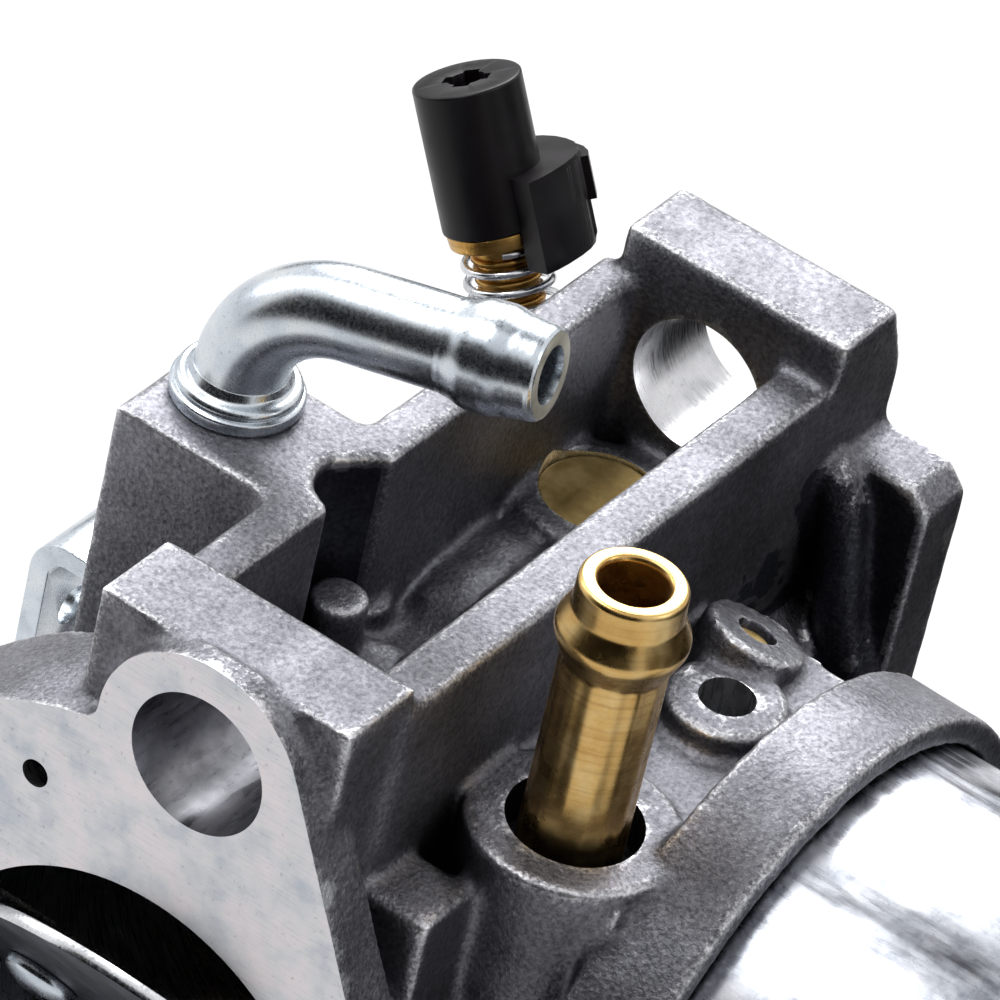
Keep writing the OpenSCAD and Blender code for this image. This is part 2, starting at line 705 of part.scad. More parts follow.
module vent_spigot() color(brass) translate([vent_pos[0], vent_pos[1], vent_top]) rotate_extrude() {
    r = vent_tube_d / 2;
    bead = r + 0.75;
    hole_r = 2.25;
    base = vent_boss_top - 8 - vent_top;
    polygon([[hole_r, base], [r, base], [r, -5.3], [r + 0.3, -5.1], [bead, -3.7],
        [bead, -2.7], [r + 0.1, -2], [r - 0.2, -1.7], [r - 0.2, -0.3], [r - 0.5, 0],
        [hole_r + 0.35, 0], [hole_r, -0.35]]);
}

module welch_plug() color(brass) translate([plug_pos[0], plug_pos[1], 18.4])
    rotate_extrude() polygon([[0, 0], [3.8, 0], [3.8, 0.9], [3.3, 1], [0, 0.75]]);

body();
float_bowl();
bowl_gasket();
bowl_screw();
bowl_screw_washer();
drain_screw();
drain_washer();
float();
float_pin();
float_needle();
needle_seat();
main_nozzle();
main_jet();
pilot_jet();
air_jet();
throttle_shaft();
throttle_plate();
throttle_plate_screws();
throttle_lever();
throttle_stop();
throttle_washer();
throttle_nut();
throttle_seal();
throttle_spring();
choke_shaft();
choke_plate();
choke_plate_screws();
choke_lever();
choke_seal();
mixture_screw();
mixture_spring();
limiter_cap();
idle_screw();
idle_spring();
fuel_elbow();
vent_spigot();
welch_plug();
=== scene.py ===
# %% [markdown]
# # A float-bowl carburetor on its side
# The carburetor is a die casting that carries a bent fuel inlet, a brass vent tube, two
# butterfly valves, two adjusting screws and a drawn float bowl. The CAD frame says where
# every piece sits. This notebook makes the finish of each piece, and it rebuilds the ones
# whose real shape is softer or finer than the CAD solid: the casting, the tubes, the
# springs, the threads and the screw heads.

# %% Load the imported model
import bpy
import bmesh
import math
import numpy as np
from mathutils import Matrix, Vector, noise


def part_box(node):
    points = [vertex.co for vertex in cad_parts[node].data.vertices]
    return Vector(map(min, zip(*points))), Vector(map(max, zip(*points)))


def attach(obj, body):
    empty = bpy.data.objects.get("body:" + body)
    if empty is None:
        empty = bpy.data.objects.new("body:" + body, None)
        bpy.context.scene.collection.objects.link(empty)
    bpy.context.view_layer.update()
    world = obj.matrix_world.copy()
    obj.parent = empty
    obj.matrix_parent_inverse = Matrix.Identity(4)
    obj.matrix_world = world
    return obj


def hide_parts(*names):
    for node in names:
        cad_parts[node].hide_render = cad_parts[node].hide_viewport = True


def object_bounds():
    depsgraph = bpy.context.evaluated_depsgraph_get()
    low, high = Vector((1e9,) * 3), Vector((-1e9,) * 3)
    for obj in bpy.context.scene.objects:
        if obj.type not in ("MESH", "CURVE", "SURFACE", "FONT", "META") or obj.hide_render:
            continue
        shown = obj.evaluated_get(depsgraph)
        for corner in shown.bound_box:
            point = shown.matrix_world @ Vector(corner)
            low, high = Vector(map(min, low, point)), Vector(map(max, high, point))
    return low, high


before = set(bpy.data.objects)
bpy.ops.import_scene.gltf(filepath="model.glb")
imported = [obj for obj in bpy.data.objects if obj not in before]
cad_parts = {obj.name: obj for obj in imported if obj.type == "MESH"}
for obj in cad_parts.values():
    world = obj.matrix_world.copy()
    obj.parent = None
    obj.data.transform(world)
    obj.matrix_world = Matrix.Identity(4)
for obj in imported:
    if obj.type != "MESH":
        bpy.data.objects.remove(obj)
cad_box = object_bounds()
MM = 0.001

# %% [markdown]
# Blender's shader sockets want linear colour, while a paint chart or a hex code is sRGB.
# One function turns the one into the other, so that every colour below is written as it
# would look. Node trees are built with one helper that sets a node's options and inputs,
# because long chains of `links.new` hide what a material is made of.

# %% Colours and nodes
def hex_colour(code):
    """Linear RGBA of an sRGB hex code."""
    parts = [int(code[i:i + 2], 16) / 255 for i in (1, 3, 5)]
    return tuple(c / 12.92 if c <= 0.04045 else ((c + 0.055) / 1.055) ** 2.4
                 for c in parts) + (1.0,)


def add_node(tree, kind, inputs=None, stops=(), **options):
    """A new node; inputs maps a socket's name or number to a value or to another socket.
    A colour ramp also takes its stops, as (position, hex colour)."""
    node = tree.nodes.new(kind)
    for i, (position, code) in enumerate(stops):
        if i >= len(node.color_ramp.elements):
            node.color_ramp.elements.new(position)
        node.color_ramp.elements[i].position = position
        node.color_ramp.elements[i].color = hex_colour(code)
    for name, value in options.items():
        setattr(node, name, value)
    for key, value in (inputs or {}).items():
        if isinstance(value, bpy.types.NodeSocket):
            tree.links.new(value, node.inputs[key])
        else:
            node.inputs[key].default_value = value
    return node


def per_mm(size):
    """The texture scale at which one feature is that many millimetres across."""
    return 1 / (size * MM)


def new_finish(name, **constants):
    """A material with its shader, the tree to build in, and the piece's own coordinates."""
    material = bpy.data.materials.new(name)
    material.use_nodes = True
    tree = material.node_tree
    shader = tree.nodes["Principled BSDF"]
    for socket, value in constants.items():
        shader.inputs[socket.replace("_", " ")].default_value = value
    spot = add_node(tree, "ShaderNodeTexCoord").outputs["Object"]
    return material, tree, shader, spot


# %% [markdown]
# ## Camera
# A long lens from the filter side, a little above the part, and rolled by about 13 degrees.
# The camera is set from three axes, because a roll is awkward to write as Euler angles.

# %% Camera
camera_spot = Vector((-0.35795, -0.16877, 0.31503))
camera_axes = ((0.5689, -0.8020, 0.1822), (0.4262, 0.4770, 0.7686), (-0.7033, -0.3596, 0.6132))
lens = bpy.data.cameras.new("long_lens")
lens.lens, lens.sensor_width = 291.33, 36
lens.clip_start, lens.clip_end = 0.01, 20
camera = bpy.data.objects.new("camera", lens)
camera.matrix_world = Matrix.Translation(camera_spot) @ Matrix(camera_axes).transposed().to_4x4()
bpy.context.scene.collection.objects.link(camera)
bpy.context.scene.camera = camera
print("camera stands", round(camera_spot.length, 3), "m from the bore")

# %% [markdown]
# ## Light
# Bare metal shows what is around it, so the studio matters as much as the material. Four
# softboxes light the part: a large one behind and above, which the top faces mirror, a
# smaller one overhead for the long highlight on the tubes, and a narrow one on each side,
# which draws the edge of each tube. The white surround would leave the metal without
# contrast, so five black cards stand where a studio's dark side would be. They are seen
# only in reflections and cast no shadow.

# %% Softboxes, black cards and floor
def softbox(name, spot, width, height, power):
    """A rectangular lamp in metres that looks at the middle of the part."""
    lamp = bpy.data.lights.new(name, "AREA")
    lamp.shape, lamp.size, lamp.size_y = "RECTANGLE", width, height
    lamp.energy = power
    item = bpy.data.objects.new(name, lamp)
    item.location = spot
    item.rotation_euler = (MIDDLE - item.location).to_track_quat("-Z", "Y").to_euler()
    bpy.context.scene.collection.objects.link(item)


def flat_sheet(name, corner, side_a, side_b, material):
    """A rectangle that is part of the studio, from one corner and its two sides in metres."""
    corner, side_a, side_b = Vector(corner), Vector(side_a), Vector(side_b)
    points = [corner, corner + side_a, corner + side_a + side_b, corner + side_b]
    mesh = bpy.data.meshes.new(name)
    mesh.from_pydata(points, [], [(0, 1, 2, 3)])
    mesh.materials.append(material)
    item = bpy.data.objects.new(name, mesh)
    bpy.context.scene.collection.objects.link(item)
    return item


def rays_that_see(tree):
    """One for camera, glossy and transmission rays, and nought for all others."""
    rays = add_node(tree, "ShaderNodeLightPath").outputs
    seen = rays["Is Camera Ray"]
    for kind in ("Is Glossy Ray", "Is Transmission Ray"):
        seen = add_node(tree, "ShaderNodeMath", {0: seen, 1: rays[kind]},
                        operation="MAXIMUM").outputs[0]
    return seen


MIDDLE = Vector((-0.028, -0.006, 0.005))
softbox("softbox_back", (0.26, 0.16, 0.26), 0.30, 0.22, 1.9)
softbox("softbox_top", (-0.08, 0.14, 0.34), 0.13, 0.10, 0.60)
softbox("softbox_left", (-0.06, 0.34, 0.20), 0.10, 0.22, 0.30)
softbox("softbox_right", (0.05, -0.34, 0.24), 0.06, 0.22, 0.16)

black_card, tree, shader, _ = new_finish("black_card", Roughness=1.0)
shader.inputs["Base Color"].default_value = hex_colour("#0A0A0C")
shader.inputs["Specular IOR Level"].default_value = 0.0
for name, corner, side_a, side_b in (
        ("card_camera", (-0.42, -0.60, -0.03), (0, 1.1, 0), (0.06, 0, 0.44)),
        ("card_top", (-0.05, 0.17, 0.34), (0.04, -0.19, 0.027), (0.105, 0.03, -0.04)),
        ("card_back", (0.36, 0.00, -0.03), (0, 0.55, 0), (0, 0, 0.11)),
        ("card_low", (0.012, -0.60, -0.0325), (0.60, 0, 0), (0, 0.58, 0)),
        ("card_right", (-0.20, -0.50, -0.02), (0.75, 0, 0), (0, 0, 0.20))):
    card = flat_sheet(name, corner, side_a, side_b, black_card)
    card.visible_camera = card.visible_diffuse = card.visible_shadow = False

# %% [markdown]
# The floor and the room around it are white to the eye and to every mirror, while the light
# they give off stays low. So the background is plain white, metal shows that white too, and
# the floor still keeps the part's shadow.

# %% White floor and room
FLOOR_GLOW, ROOM_FILL, FLOOR_GAP = 0.88, 0.30, 0.0002
pale_floor, tree, shader, _ = new_finish("pale_floor", Roughness=0.9)
shader.inputs["Base Color"].default_value = hex_colour("#F2F2F2")
share = add_node(tree, "ShaderNodeMath", {0: rays_that_see(tree), 1: FLOOR_GLOW},
                 operation="MULTIPLY").outputs[0]
white = add_node(tree, "ShaderNodeEmission", {"Color": (1, 1, 1, 1), "Strength": 1.0})
mixed = add_node(tree, "ShaderNodeMixShader", {0: share, 1: shader.outputs[0], 2: white.outputs[0]})
tree.links.new(mixed.outputs[0], tree.nodes["Material Output"].inputs["Surface"])
floor_z = cad_box[0].z - FLOOR_GAP
flat_sheet("floor", (-4, -4, floor_z), (8, 0, 0), (0, 8, 0), pale_floor)

world = bpy.data.worlds.new("white_room")
bpy.context.scene.world = world
world.use_nodes = True
tree = world.node_tree
strength = add_node(tree, "ShaderNodeMapRange", {
    "Value": rays_that_see(tree), "To Min": ROOM_FILL, "To Max": 1.0}).outputs["Result"]
tree.links.new(strength, tree.nodes["Background"].inputs["Strength"])
tree.nodes["Background"].inputs["Color"].default_value = (1, 1, 1, 1)
bpy.context.scene.view_settings.view_transform = "Standard"
print("floor at", round(floor_z / MM, 1), "mm")

# %% [markdown]
# ## Finishes
# Each material starts from how the real surface was made. All patterns read the piece's own
# coordinates in metres, so a grain of 0.3 mm is 0.3 mm on every piece. Every finish ends the
# same way: a colour, a roughness that follows one of its patterns, and a fine bump.

# %% How a finish ends
def close_finish(tree, shader, base, pattern, smooth, rough, height, strength, depth_mm,
                 low=0.3, high=0.7):
    """Joins colour, roughness (from smooth to rough along a pattern) and bump to the shader."""
    tree.links.new(base, shader.inputs["Base Color"])
    gloss = add_node(tree, "ShaderNodeMapRange", {"Value": pattern, "From Min": low,
                     "From Max": high, "To Min": smooth, "To Max": rough})
    tree.links.new(gloss.outputs["Result"], shader.inputs["Roughness"])
    bump = add_node(tree, "ShaderNodeBump", {"Height": height, "Strength": strength,
                    "Distance": depth_mm * MM})
    tree.links.new(bump.outputs["Normal"], shader.inputs["Normal"])


# %% [markdown]
# ** Cast aluminium.** Aluminium alloy, die cast and then tumbled with grit. The eye sees a
# grey metal broken up by fine grain, with rubbed bright edges and painted shade in the
# corners. The shaded casting is the same skin painted darker and bluer and hardly rubbed,
# as painted shade in the pocket, the recess and some holes.

# %% Cast aluminium
def cast_metal(name, tones, worn_code):
    """Die-cast aluminium in three tones of grey, with the colour of its rubbed edges."""
    material, tree, shader, spot = new_finish(name, Metallic=1.0)
    grain = add_node(tree, "ShaderNodeTexNoise", {
        "Vector": spot, "Scale": per_mm(0.24), "Detail": 3.0, "Roughness": 0.65}).outputs["Fac"]
    sand = add_node(tree, "ShaderNodeTexVoronoi", {
        "Vector": spot, "Scale": per_mm(0.42)}).outputs["Distance"]
    cloud = add_node(tree, "ShaderNodeTexNoise", {
        "Vector": spot, "Scale": per_mm(7.0), "Detail": 4.0, "Roughness": 0.55})
    speck = add_node(tree, "ShaderNodeTexNoise", {
        "Vector": spot, "Scale": per_mm(0.34), "Detail": 3.0, "Roughness": 0.7})
    # Rubbed edges: where the mesh is sharp, with a limit that the grain makes ragged.
    edge = add_node(tree, "ShaderNodeNewGeometry").outputs["Pointiness"]
    ragged = add_node(tree, "ShaderNodeMath", {0: grain, 1: 0.10}, operation="MULTIPLY")
    worn = add_node(tree, "ShaderNodeMath", {0: edge, 1: ragged.outputs[0]}, operation="ADD")
    worn = add_node(tree, "ShaderNodeMapRange", {
        "Value": worn.outputs[0], "From Min": 0.565, "From Max": 0.62}).outputs["Result"]
    # Painted shade: ambient occlusion darkens the colour in corners and hollows.
    shelter = add_node(tree, "ShaderNodeAmbientOcclusion", {"Distance": 11 * MM}, samples=8)
    painted_shade = add_node(tree, "ShaderNodeMapRange", {
        "Value": shelter.outputs["AO"], "From Min": 0.08, "From Max": 0.42,
        "To Min": 0.80, "To Max": 0.0}).outputs["Result"]
    base = add_node(tree, "ShaderNodeValToRGB", {"Fac": cloud.outputs["Fac"]}, stops=(
        (0.30, tones[0]), (0.52, tones[1]), (0.72, tones[2]))).outputs["Color"]
    grey = add_node(tree, "ShaderNodeValToRGB", {"Fac": speck.outputs["Fac"]}, stops=(
        (0.30, "#6A6A6F"), (0.46, "#C0C0C4"), (0.66, "#FFFFFF"))).outputs["Color"]
    base = add_node(tree, "ShaderNodeMix", {0: 0.7, 6: base, 7: grey},
                    data_type="RGBA", blend_type="MULTIPLY").outputs[2]
    for amount, code in ((worn, worn_code), (painted_shade, "#252428")):
        base = add_node(tree, "ShaderNodeMix", {0: amount, 6: base, 7: hex_colour(code)},
                        data_type="RGBA").outputs[2]
    sand = add_node(tree, "ShaderNodeMath", {0: sand, 1: 0.5}, operation="MULTIPLY")
    height = add_node(tree, "ShaderNodeMath", {0: grain, 1: sand.outputs[0]}, operation="ADD")
    close_finish(tree, shader, base, worn, 0.50, 0.33, height.outputs[0], 0.9, 0.06, 0, 1)
    return material


cast_aluminium = cast_metal("cast_aluminium", ("#6C6C71", "#818187", "#98989F"), "#DADADD")
# Painted shade: a darker, bluer copy of the casting for shaded faces in the pocket, the recess and
# some holes.
oily_casting = cast_metal("oily_casting", ("#3A3A41", "#4B4C55", "#5E616C"), "#8C8C94")

# %% [markdown]
# ** Machined aluminium.** The flange faces are milled flat and the holes drilled, so they are
# brighter than the casting and carry fine scratches. A mapping that squeezes one axis turns
# round noise into scratches. The walls of the stud holes near the filter end are darker, as
# painted shade inside the holes, and carry stronger marks.

# %% Machined aluminium
def milled(name, stretch, tint, roughness, marks_seen=0.2):
    """Bright cut metal; stretch says how long its marks are along each axis, in mm."""
    material, tree, shader, spot = new_finish(name, Metallic=1.0)
    marks = add_node(tree, "ShaderNodeMapping", {
        "Vector": spot, "Scale": [per_mm(size) for size in stretch]})
    scratch = add_node(tree, "ShaderNodeTexNoise", {
        "Vector": marks.outputs[0], "Scale": 1.0, "Detail": 4.0}).outputs["Fac"]
    cloud = add_node(tree, "ShaderNodeTexNoise", {
        "Vector": spot, "Scale": per_mm(2.6), "Detail": 5.0, "Roughness": 0.6})
    speck = add_node(tree, "ShaderNodeTexNoise", {
        "Vector": spot, "Scale": per_mm(0.35), "Detail": 2.0})
    base = add_node(tree, "ShaderNodeValToRGB", {"Fac": cloud.outputs["Fac"]}, stops=(
        (0.32, tint[0]), (0.50, tint[1]), (0.68, tint[2]))).outputs["Color"]
    fleck = add_node(tree, "ShaderNodeValToRGB", {"Fac": speck.outputs["Fac"]}, stops=(
        (0.24, "#A4A4A8"), (0.36, "#FFFFFF"))).outputs["Color"]
    line = add_node(tree, "ShaderNodeValToRGB", {"Fac": scratch}, stops=(
        (0.34, "#8C8C90"), (0.46, "#F0F0F2"), (0.58, "#FFFFFF"))).outputs["Color"]
    for amount, pattern in ((0.4, fleck), (marks_seen, line)):
        base = add_node(tree, "ShaderNodeMix", {0: amount, 6: base, 7: pattern},
                        data_type="RGBA", blend_type="MULTIPLY").outputs[2]
    close_finish(tree, shader, base, scratch, roughness - 0.07, roughness + 0.09,
                 scratch, 0.18, 0.02)
    return material


milled_face = milled("milled_face", (3.0, 2.4, 0.12), ("#B9BEC6", "#D0D0D3", "#DCD5D8"), 0.34)
# Painted shade: darker tones for the walls of the stud holes near the filter end.
cored_wall = milled("cored_wall", (3.0, 0.5, 0.5), ("#77777C", "#94949A", "#A8A8AE"), 0.30, 0.4)
drilled_wall = milled("drilled_wall", (0.14, 2.2, 2.2), ("#B9BABD", "#D2D2D5", "#DEDEE0"),
                      0.28, 0.1)
print("cast and machined aluminium ready")

# %% [markdown]
# **Zinc plate.** The fuel inlet and the levers are steel with a bright zinc coat and a clear
# passivate, which is smooth, faintly blue, and a little cloudy where the acid bit deeper.

# %% Zinc-plated steel
zinc_plate, tree, shader, spot = new_finish("zinc_plate", Metallic=1.0)
cloud = add_node(tree, "ShaderNodeTexNoise", {
    "Vector": spot, "Scale": per_mm(3.4), "Detail": 5.0, "Roughness": 0.6})
fine = add_node(tree, "ShaderNodeTexNoise", {
    "Vector": spot, "Scale": per_mm(0.22), "Detail": 3.0, "Roughness": 0.65}).outputs["Fac"]
base = add_node(tree, "ShaderNodeValToRGB", {"Fac": cloud.outputs["Fac"]}, stops=(
        (0.30, "#B4BCC6"), (0.52, "#CDD4DB"), (0.74, "#DEE1E3"))).outputs["Color"]
pits = add_node(tree, "ShaderNodeValToRGB", {"Fac": fine}, stops=(
        (0.26, "#8B8F95"), (0.40, "#FFFFFF"))).outputs["Color"]
base = add_node(tree, "ShaderNodeMix", {0: 0.55, 6: base, 7: pits},
                data_type="RGBA", blend_type="MULTIPLY").outputs[2]
close_finish(tree, shader, base, fine, 0.22, 0.31, fine, 0.12, 0.01)

# %% [markdown]
# **Brass.** Free-cutting brass off a lathe: warm, with tool rings round its axis and a brown
# film where hands have not polished it. The rings need the direction of the axis, so one
# function makes the brass of an upright tube and that of the tilted screw.

# %% Turned brass
def turned_brass(name, turn, ring_mm, tints, roughness, tarnish):
    """Brass with tool rings around Z once the piece's coordinates are turned by turn."""
    material, tree, shader, spot = new_finish(name, Metallic=1.0)
    own = add_node(tree, "ShaderNodeMapping", {"Vector": spot, "Rotation": turn})
    marks = add_node(tree, "ShaderNodeMapping", {"Vector": own.outputs[0], "Scale": [
        per_mm(size) for size in (9.0, 9.0, ring_mm)]})
    rings = add_node(tree, "ShaderNodeTexNoise", {
        "Vector": marks.outputs[0], "Scale": 1.0, "Detail": 3.0}).outputs["Fac"]
    film = add_node(tree, "ShaderNodeTexNoise", {
        "Vector": spot, "Scale": per_mm(2.2), "Detail": 5.0, "Roughness": 0.62}).outputs["Fac"]
    base = add_node(tree, "ShaderNodeValToRGB", {"Fac": film}, stops=(
        (0.28, tints[0]), (0.50, tints[1]), (0.70, tints[2]))).outputs["Color"]
    dark = add_node(tree, "ShaderNodeValToRGB", {"Fac": rings}, stops=(
        (0.30, tarnish), (0.52, "#FFFFFF"))).outputs["Color"]
    base = add_node(tree, "ShaderNodeMix", {0: 0.3, 6: base, 7: dark},
                    data_type="RGBA", blend_type="MULTIPLY").outputs[2]
    close_finish(tree, shader, base, film, roughness - 0.06, roughness + 0.10,
                 rings, 0.16, 0.02)
    return material


brass_tube = turned_brass("brass_tube", (0, 0, 0), 0.30,
                          ("#B48D52", "#CCA869", "#DBBE85"), 0.27, "#A07C48")
brass_screw = turned_brass("brass_screw", (math.radians(28), 0, 0), 0.25,
                           ("#9C7436", "#B98F4C", "#CDA765"), 0.28, "#7C5A30")
brass_plug = turned_brass("brass_plug", (math.radians(90), 0, 0), 0.8,
                          ("#A38A54", "#C6AB70", "#D9C38C"), 0.50, "#8E7750")
brass_sheet = turned_brass("brass_sheet", (0, math.radians(90), 0), 0.4,
                           ("#8F7A45", "#AF9857", "#C6B06C"), 0.30, "#8A7440")
print("zinc and brass ready")

# %% [markdown]
# **Moulded plastic, rubber and fibre.** These are not metals, so their gloss stays weak and
# white. Fine noise breaks up the gloss the way a spark-eroded mould does.

# %% Plastic, rubber and fibre
def moulded(name, dark, light, grain_mm, roughness, bump_mm):
    """A moulded piece in two close tones, with the grain of its mould."""
    material, tree, shader, spot = new_finish(name, Metallic=0.0, IOR=1.5)
    grain = add_node(tree, "ShaderNodeTexNoise", {
        "Vector": spot, "Scale": per_mm(grain_mm), "Detail": 3.0})
    cloud = add_node(tree, "ShaderNodeTexNoise", {
        "Vector": spot, "Scale": per_mm(2.5), "Detail": 4.0}).outputs["Fac"]
    base = add_node(tree, "ShaderNodeValToRGB", {"Fac": cloud}, stops=(
        (0.35, dark), (0.65, light))).outputs["Color"]
    close_finish(tree, shader, base, cloud, roughness - 0.05, roughness + 0.08,
                 grain.outputs["Fac"], 0.5, bump_mm)
    return material


black_nylon = moulded("black_nylon", "#080508", "#110C11", 0.16, 0.36, 0.010)
black_nylon.node_tree.nodes["Principled BSDF"].inputs["Specular IOR Level"].default_value = 0.22
nitrile_rubber = moulded("nitrile_rubber", "#1E1D1F", "#2A292B", 0.25, 0.62, 0.03)
red_fibre = moulded("red_fibre", "#7E3A20", "#A04E2E", 0.22, 0.70, 0.04)
float_foam = moulded("float_foam", "#2B2926", "#3A3733", 0.30, 0.55, 0.03)

# %% [markdown]
# **Steel wire, sheet steel and drawn aluminium.** Wire is pulled through a die and stays
# bright. The choke plate is blanked from rolled sheet, which is dark and dull. The bowl is
# drawn from aluminium sheet, which leaves long streaks in the direction of the draw. Inside
# the fuel inlet the steel is bare and brown, and its sawn end is pale and matt.

# %% Wire, sheet and drawn metal
spring_wire = milled("spring_wire", (0.2, 0.2, 1.2), ("#B9BBBE", "#D3D5D8", "#E3E4E6"), 0.20)
rolled_sheet = milled("rolled_sheet", (0.25, 3.0, 3.0), ("#34373E", "#43464E", "#525660"), 0.46)
drawn_bowl = milled("drawn_bowl", (0.9, 7.0, 0.9), ("#9094A0", "#C4C8D0", "#DEE0E6"), 0.26)
bare_steel = milled("bare_steel", (0.5, 0.5, 3.0), ("#151311", "#26231F", "#3A362F"), 0.42)
sawn_end = milled("sawn_end", (1.0, 1.0, 1.0), ("#B4B0A2", "#CCC8BA", "#DDDACE"), 0.60)
print("materials:", len(bpy.data.materials))

# %% [markdown]
# ## Helpers for shapes
# Most small parts are turned, so a rounded outline spun round an axis makes them. A helper
# rounds the corners of the outline first: no real edge is perfectly sharp, and the small
# radius is what catches the light.

# %% Turned solids
def axis_place(point, direction):
    """Places Z of a piece drawn in mm along a direction through a point, in metres."""
    turn = Vector(direction).normalized().to_track_quat("Z", "Y").to_matrix().to_4x4()
    return Matrix.Scale(MM, 4) @ Matrix.Translation(point) @ turn


def rounded(outline, radius=0.12, steps=3):
    """An outline with each corner inside it rounded; a third number sets its own radius."""
    done = [tuple(outline[0][:2])]
    for before, corner, after in zip(outline, outline[1:], outline[2:]):
        size = corner[2] if len(corner) > 2 else radius
        here = Vector(corner[:2])
        back, ahead = Vector(before[:2]) - here, Vector(after[:2]) - here
        size = min(size, 0.45 * back.length, 0.45 * ahead.length)
        if size < 1e-4 or back.angle(ahead) > 3.05:
            done.append(tuple(here))
            continue
        first, last = here + back.normalized() * size, here + ahead.normalized() * size
        for i in range(steps + 1):
            t = i / steps
            done.append(tuple(first * (1 - t) ** 2 + here * 2 * t * (1 - t) + last * t * t))
    return done + [tuple(outline[-1][:2])]


def spin(bm, outline, place, sides=96):
    """Spins an outline of (radius, height) round Z into a closed solid."""
    rings = []
    for radius, height in outline:
        count = sides if radius > 1e-6 else 1
        angles = [2 * math.pi * k / sides for k in range(count)]
        rings.append([bm.verts.new(place @ Vector((radius * math.cos(a), radius * math.sin(a),
                                                   height))) for a in angles])
    if outline[0][0] > 1e-6 and outline[-1][0] > 1e-6:
        rings.append(rings[0])
    for low, high in zip(rings, rings[1:]):
        for k in range(sides):
            n = (k + 1) % sides
            corners = [low[k % len(low)], low[n % len(low)],
                       high[n % len(high)], high[k % len(high)]]
            corners = list(dict.fromkeys(corners))
            if len(corners) > 2:
                bm.faces.new(corners)


def show(name, bm, *materials):
    """A scene object from a bmesh, with its faces turned outwards."""
    bmesh.ops.recalc_face_normals(bm, faces=bm.faces)
    mesh = bpy.data.meshes.new(name)
    bm.to_mesh(mesh)
    bm.free()
    for material in materials:
        mesh.materials.append(material)
    item = bpy.data.objects.new(name, mesh)
    bpy.context.scene.collection.objects.link(item)
    return item


def soften(item, angle=40):
    """Smooth shading that breaks at edges sharper than the angle."""
    item.data.shade_smooth()
    item.data.set_sharp_from_angle(angle=math.radians(angle))
    return item


def settle(item):
    """Turns an object's modifiers into its plain mesh."""
    graph = bpy.context.evaluated_depsgraph_get()
    graph.update()
    mesh = bpy.data.meshes.new_from_object(item.evaluated_get(graph))
    item.modifiers.clear()
    item.data = mesh
    return item


def turned(name, outline, place, material, sides=96, radius=0.12):
    """A turned piece with its corners rounded."""
    bm = bmesh.new()
    spin(bm, rounded(outline, radius), place, sides)
    return soften(show(name, bm, material), 50)


def cut(item, cutters, operation="DIFFERENCE"):
    """Takes the cutters away from a piece, then removes them."""
    for cutter in cutters:
        step = item.modifiers.new("cut", "BOOLEAN")
        step.operation, step.object, step.solver = operation, cutter, "MANIFOLD"
    settle(item)
    for cutter in cutters:
        bpy.data.objects.remove(cutter)
    return item


def hand_over(item, body, slot, *nodes):
    """Puts a finished piece on its body and hides the CAD nodes that it stands for."""
    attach(item, body)
    if nodes:
        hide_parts(*nodes)
    print(item.name, sum(len(p.vertices) - 2 for p in item.data.polygons), "triangles on", body)
    return item


# %% [markdown]
# Stamped and hexagonal parts keep their CAD shape. A CAD mesh arrives as loose triangles, so
# a copy is merged and cleaned first, and then a small bevel runs along its edges.

# %% Bevelled copies of CAD nodes
def bevelled(name, node, width, *materials, segments=2, angle=35):
    """A merged copy of a CAD node with a bevel of that width in mm."""
    bm = bmesh.new()
    bm.from_mesh(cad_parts[node].data)
    bmesh.ops.remove_doubles(bm, verts=bm.verts, dist=1e-6)
    bmesh.ops.dissolve_limit(bm, angle_limit=math.radians(1.0), verts=bm.verts, edges=bm.edges)
    item = show(name, bm, *materials)
    bevel = item.modifiers.new("edges", "BEVEL")
    bevel.width, bevel.segments = width * MM, segments
    bevel.limit_method, bevel.angle_limit = "ANGLE", math.radians(angle)
    bevel.use_clamp_overlap = True
    return soften(settle(item), 30)


# %% [markdown]
# ## The casting
# A die casting comes out of its mould with rounded corners everywhere, and only then are the
# faces milled and the holes drilled. Bevelling a CAD solid this tangled breaks, so this
# follows the real order. The CAD body is thickened at both machined ends and its holes are
# plugged. A voxel remesh turns it into one even skin. Smoothing rounds it: the hollow
# corners get many rounds and so a wide fillet, the outer corners get few and stay crisp.

# %% Blank for the casting
BODY_LEN, STUD_Y, STUD_Z, STUD_R = 58, -0.8, 25.35, 4.5
THROTTLE_X, CHOKE_X = -14, -52.8
VENT, BLEED, PLUG, IDLE_SPOT = (-40.6, -15.85), (-25.4, -16.1), (-13.8, 0.8), (-4.5, 23.8)
SPARE, BLOCK_SLOPE = 1.5, 4 / 1.8


def rod(bm, start, direction, length, radius, sides=64):
    spin(bm, [(0, 0), (radius, 0), (radius, length), (0, length)],
         axis_place(start, direction), sides)


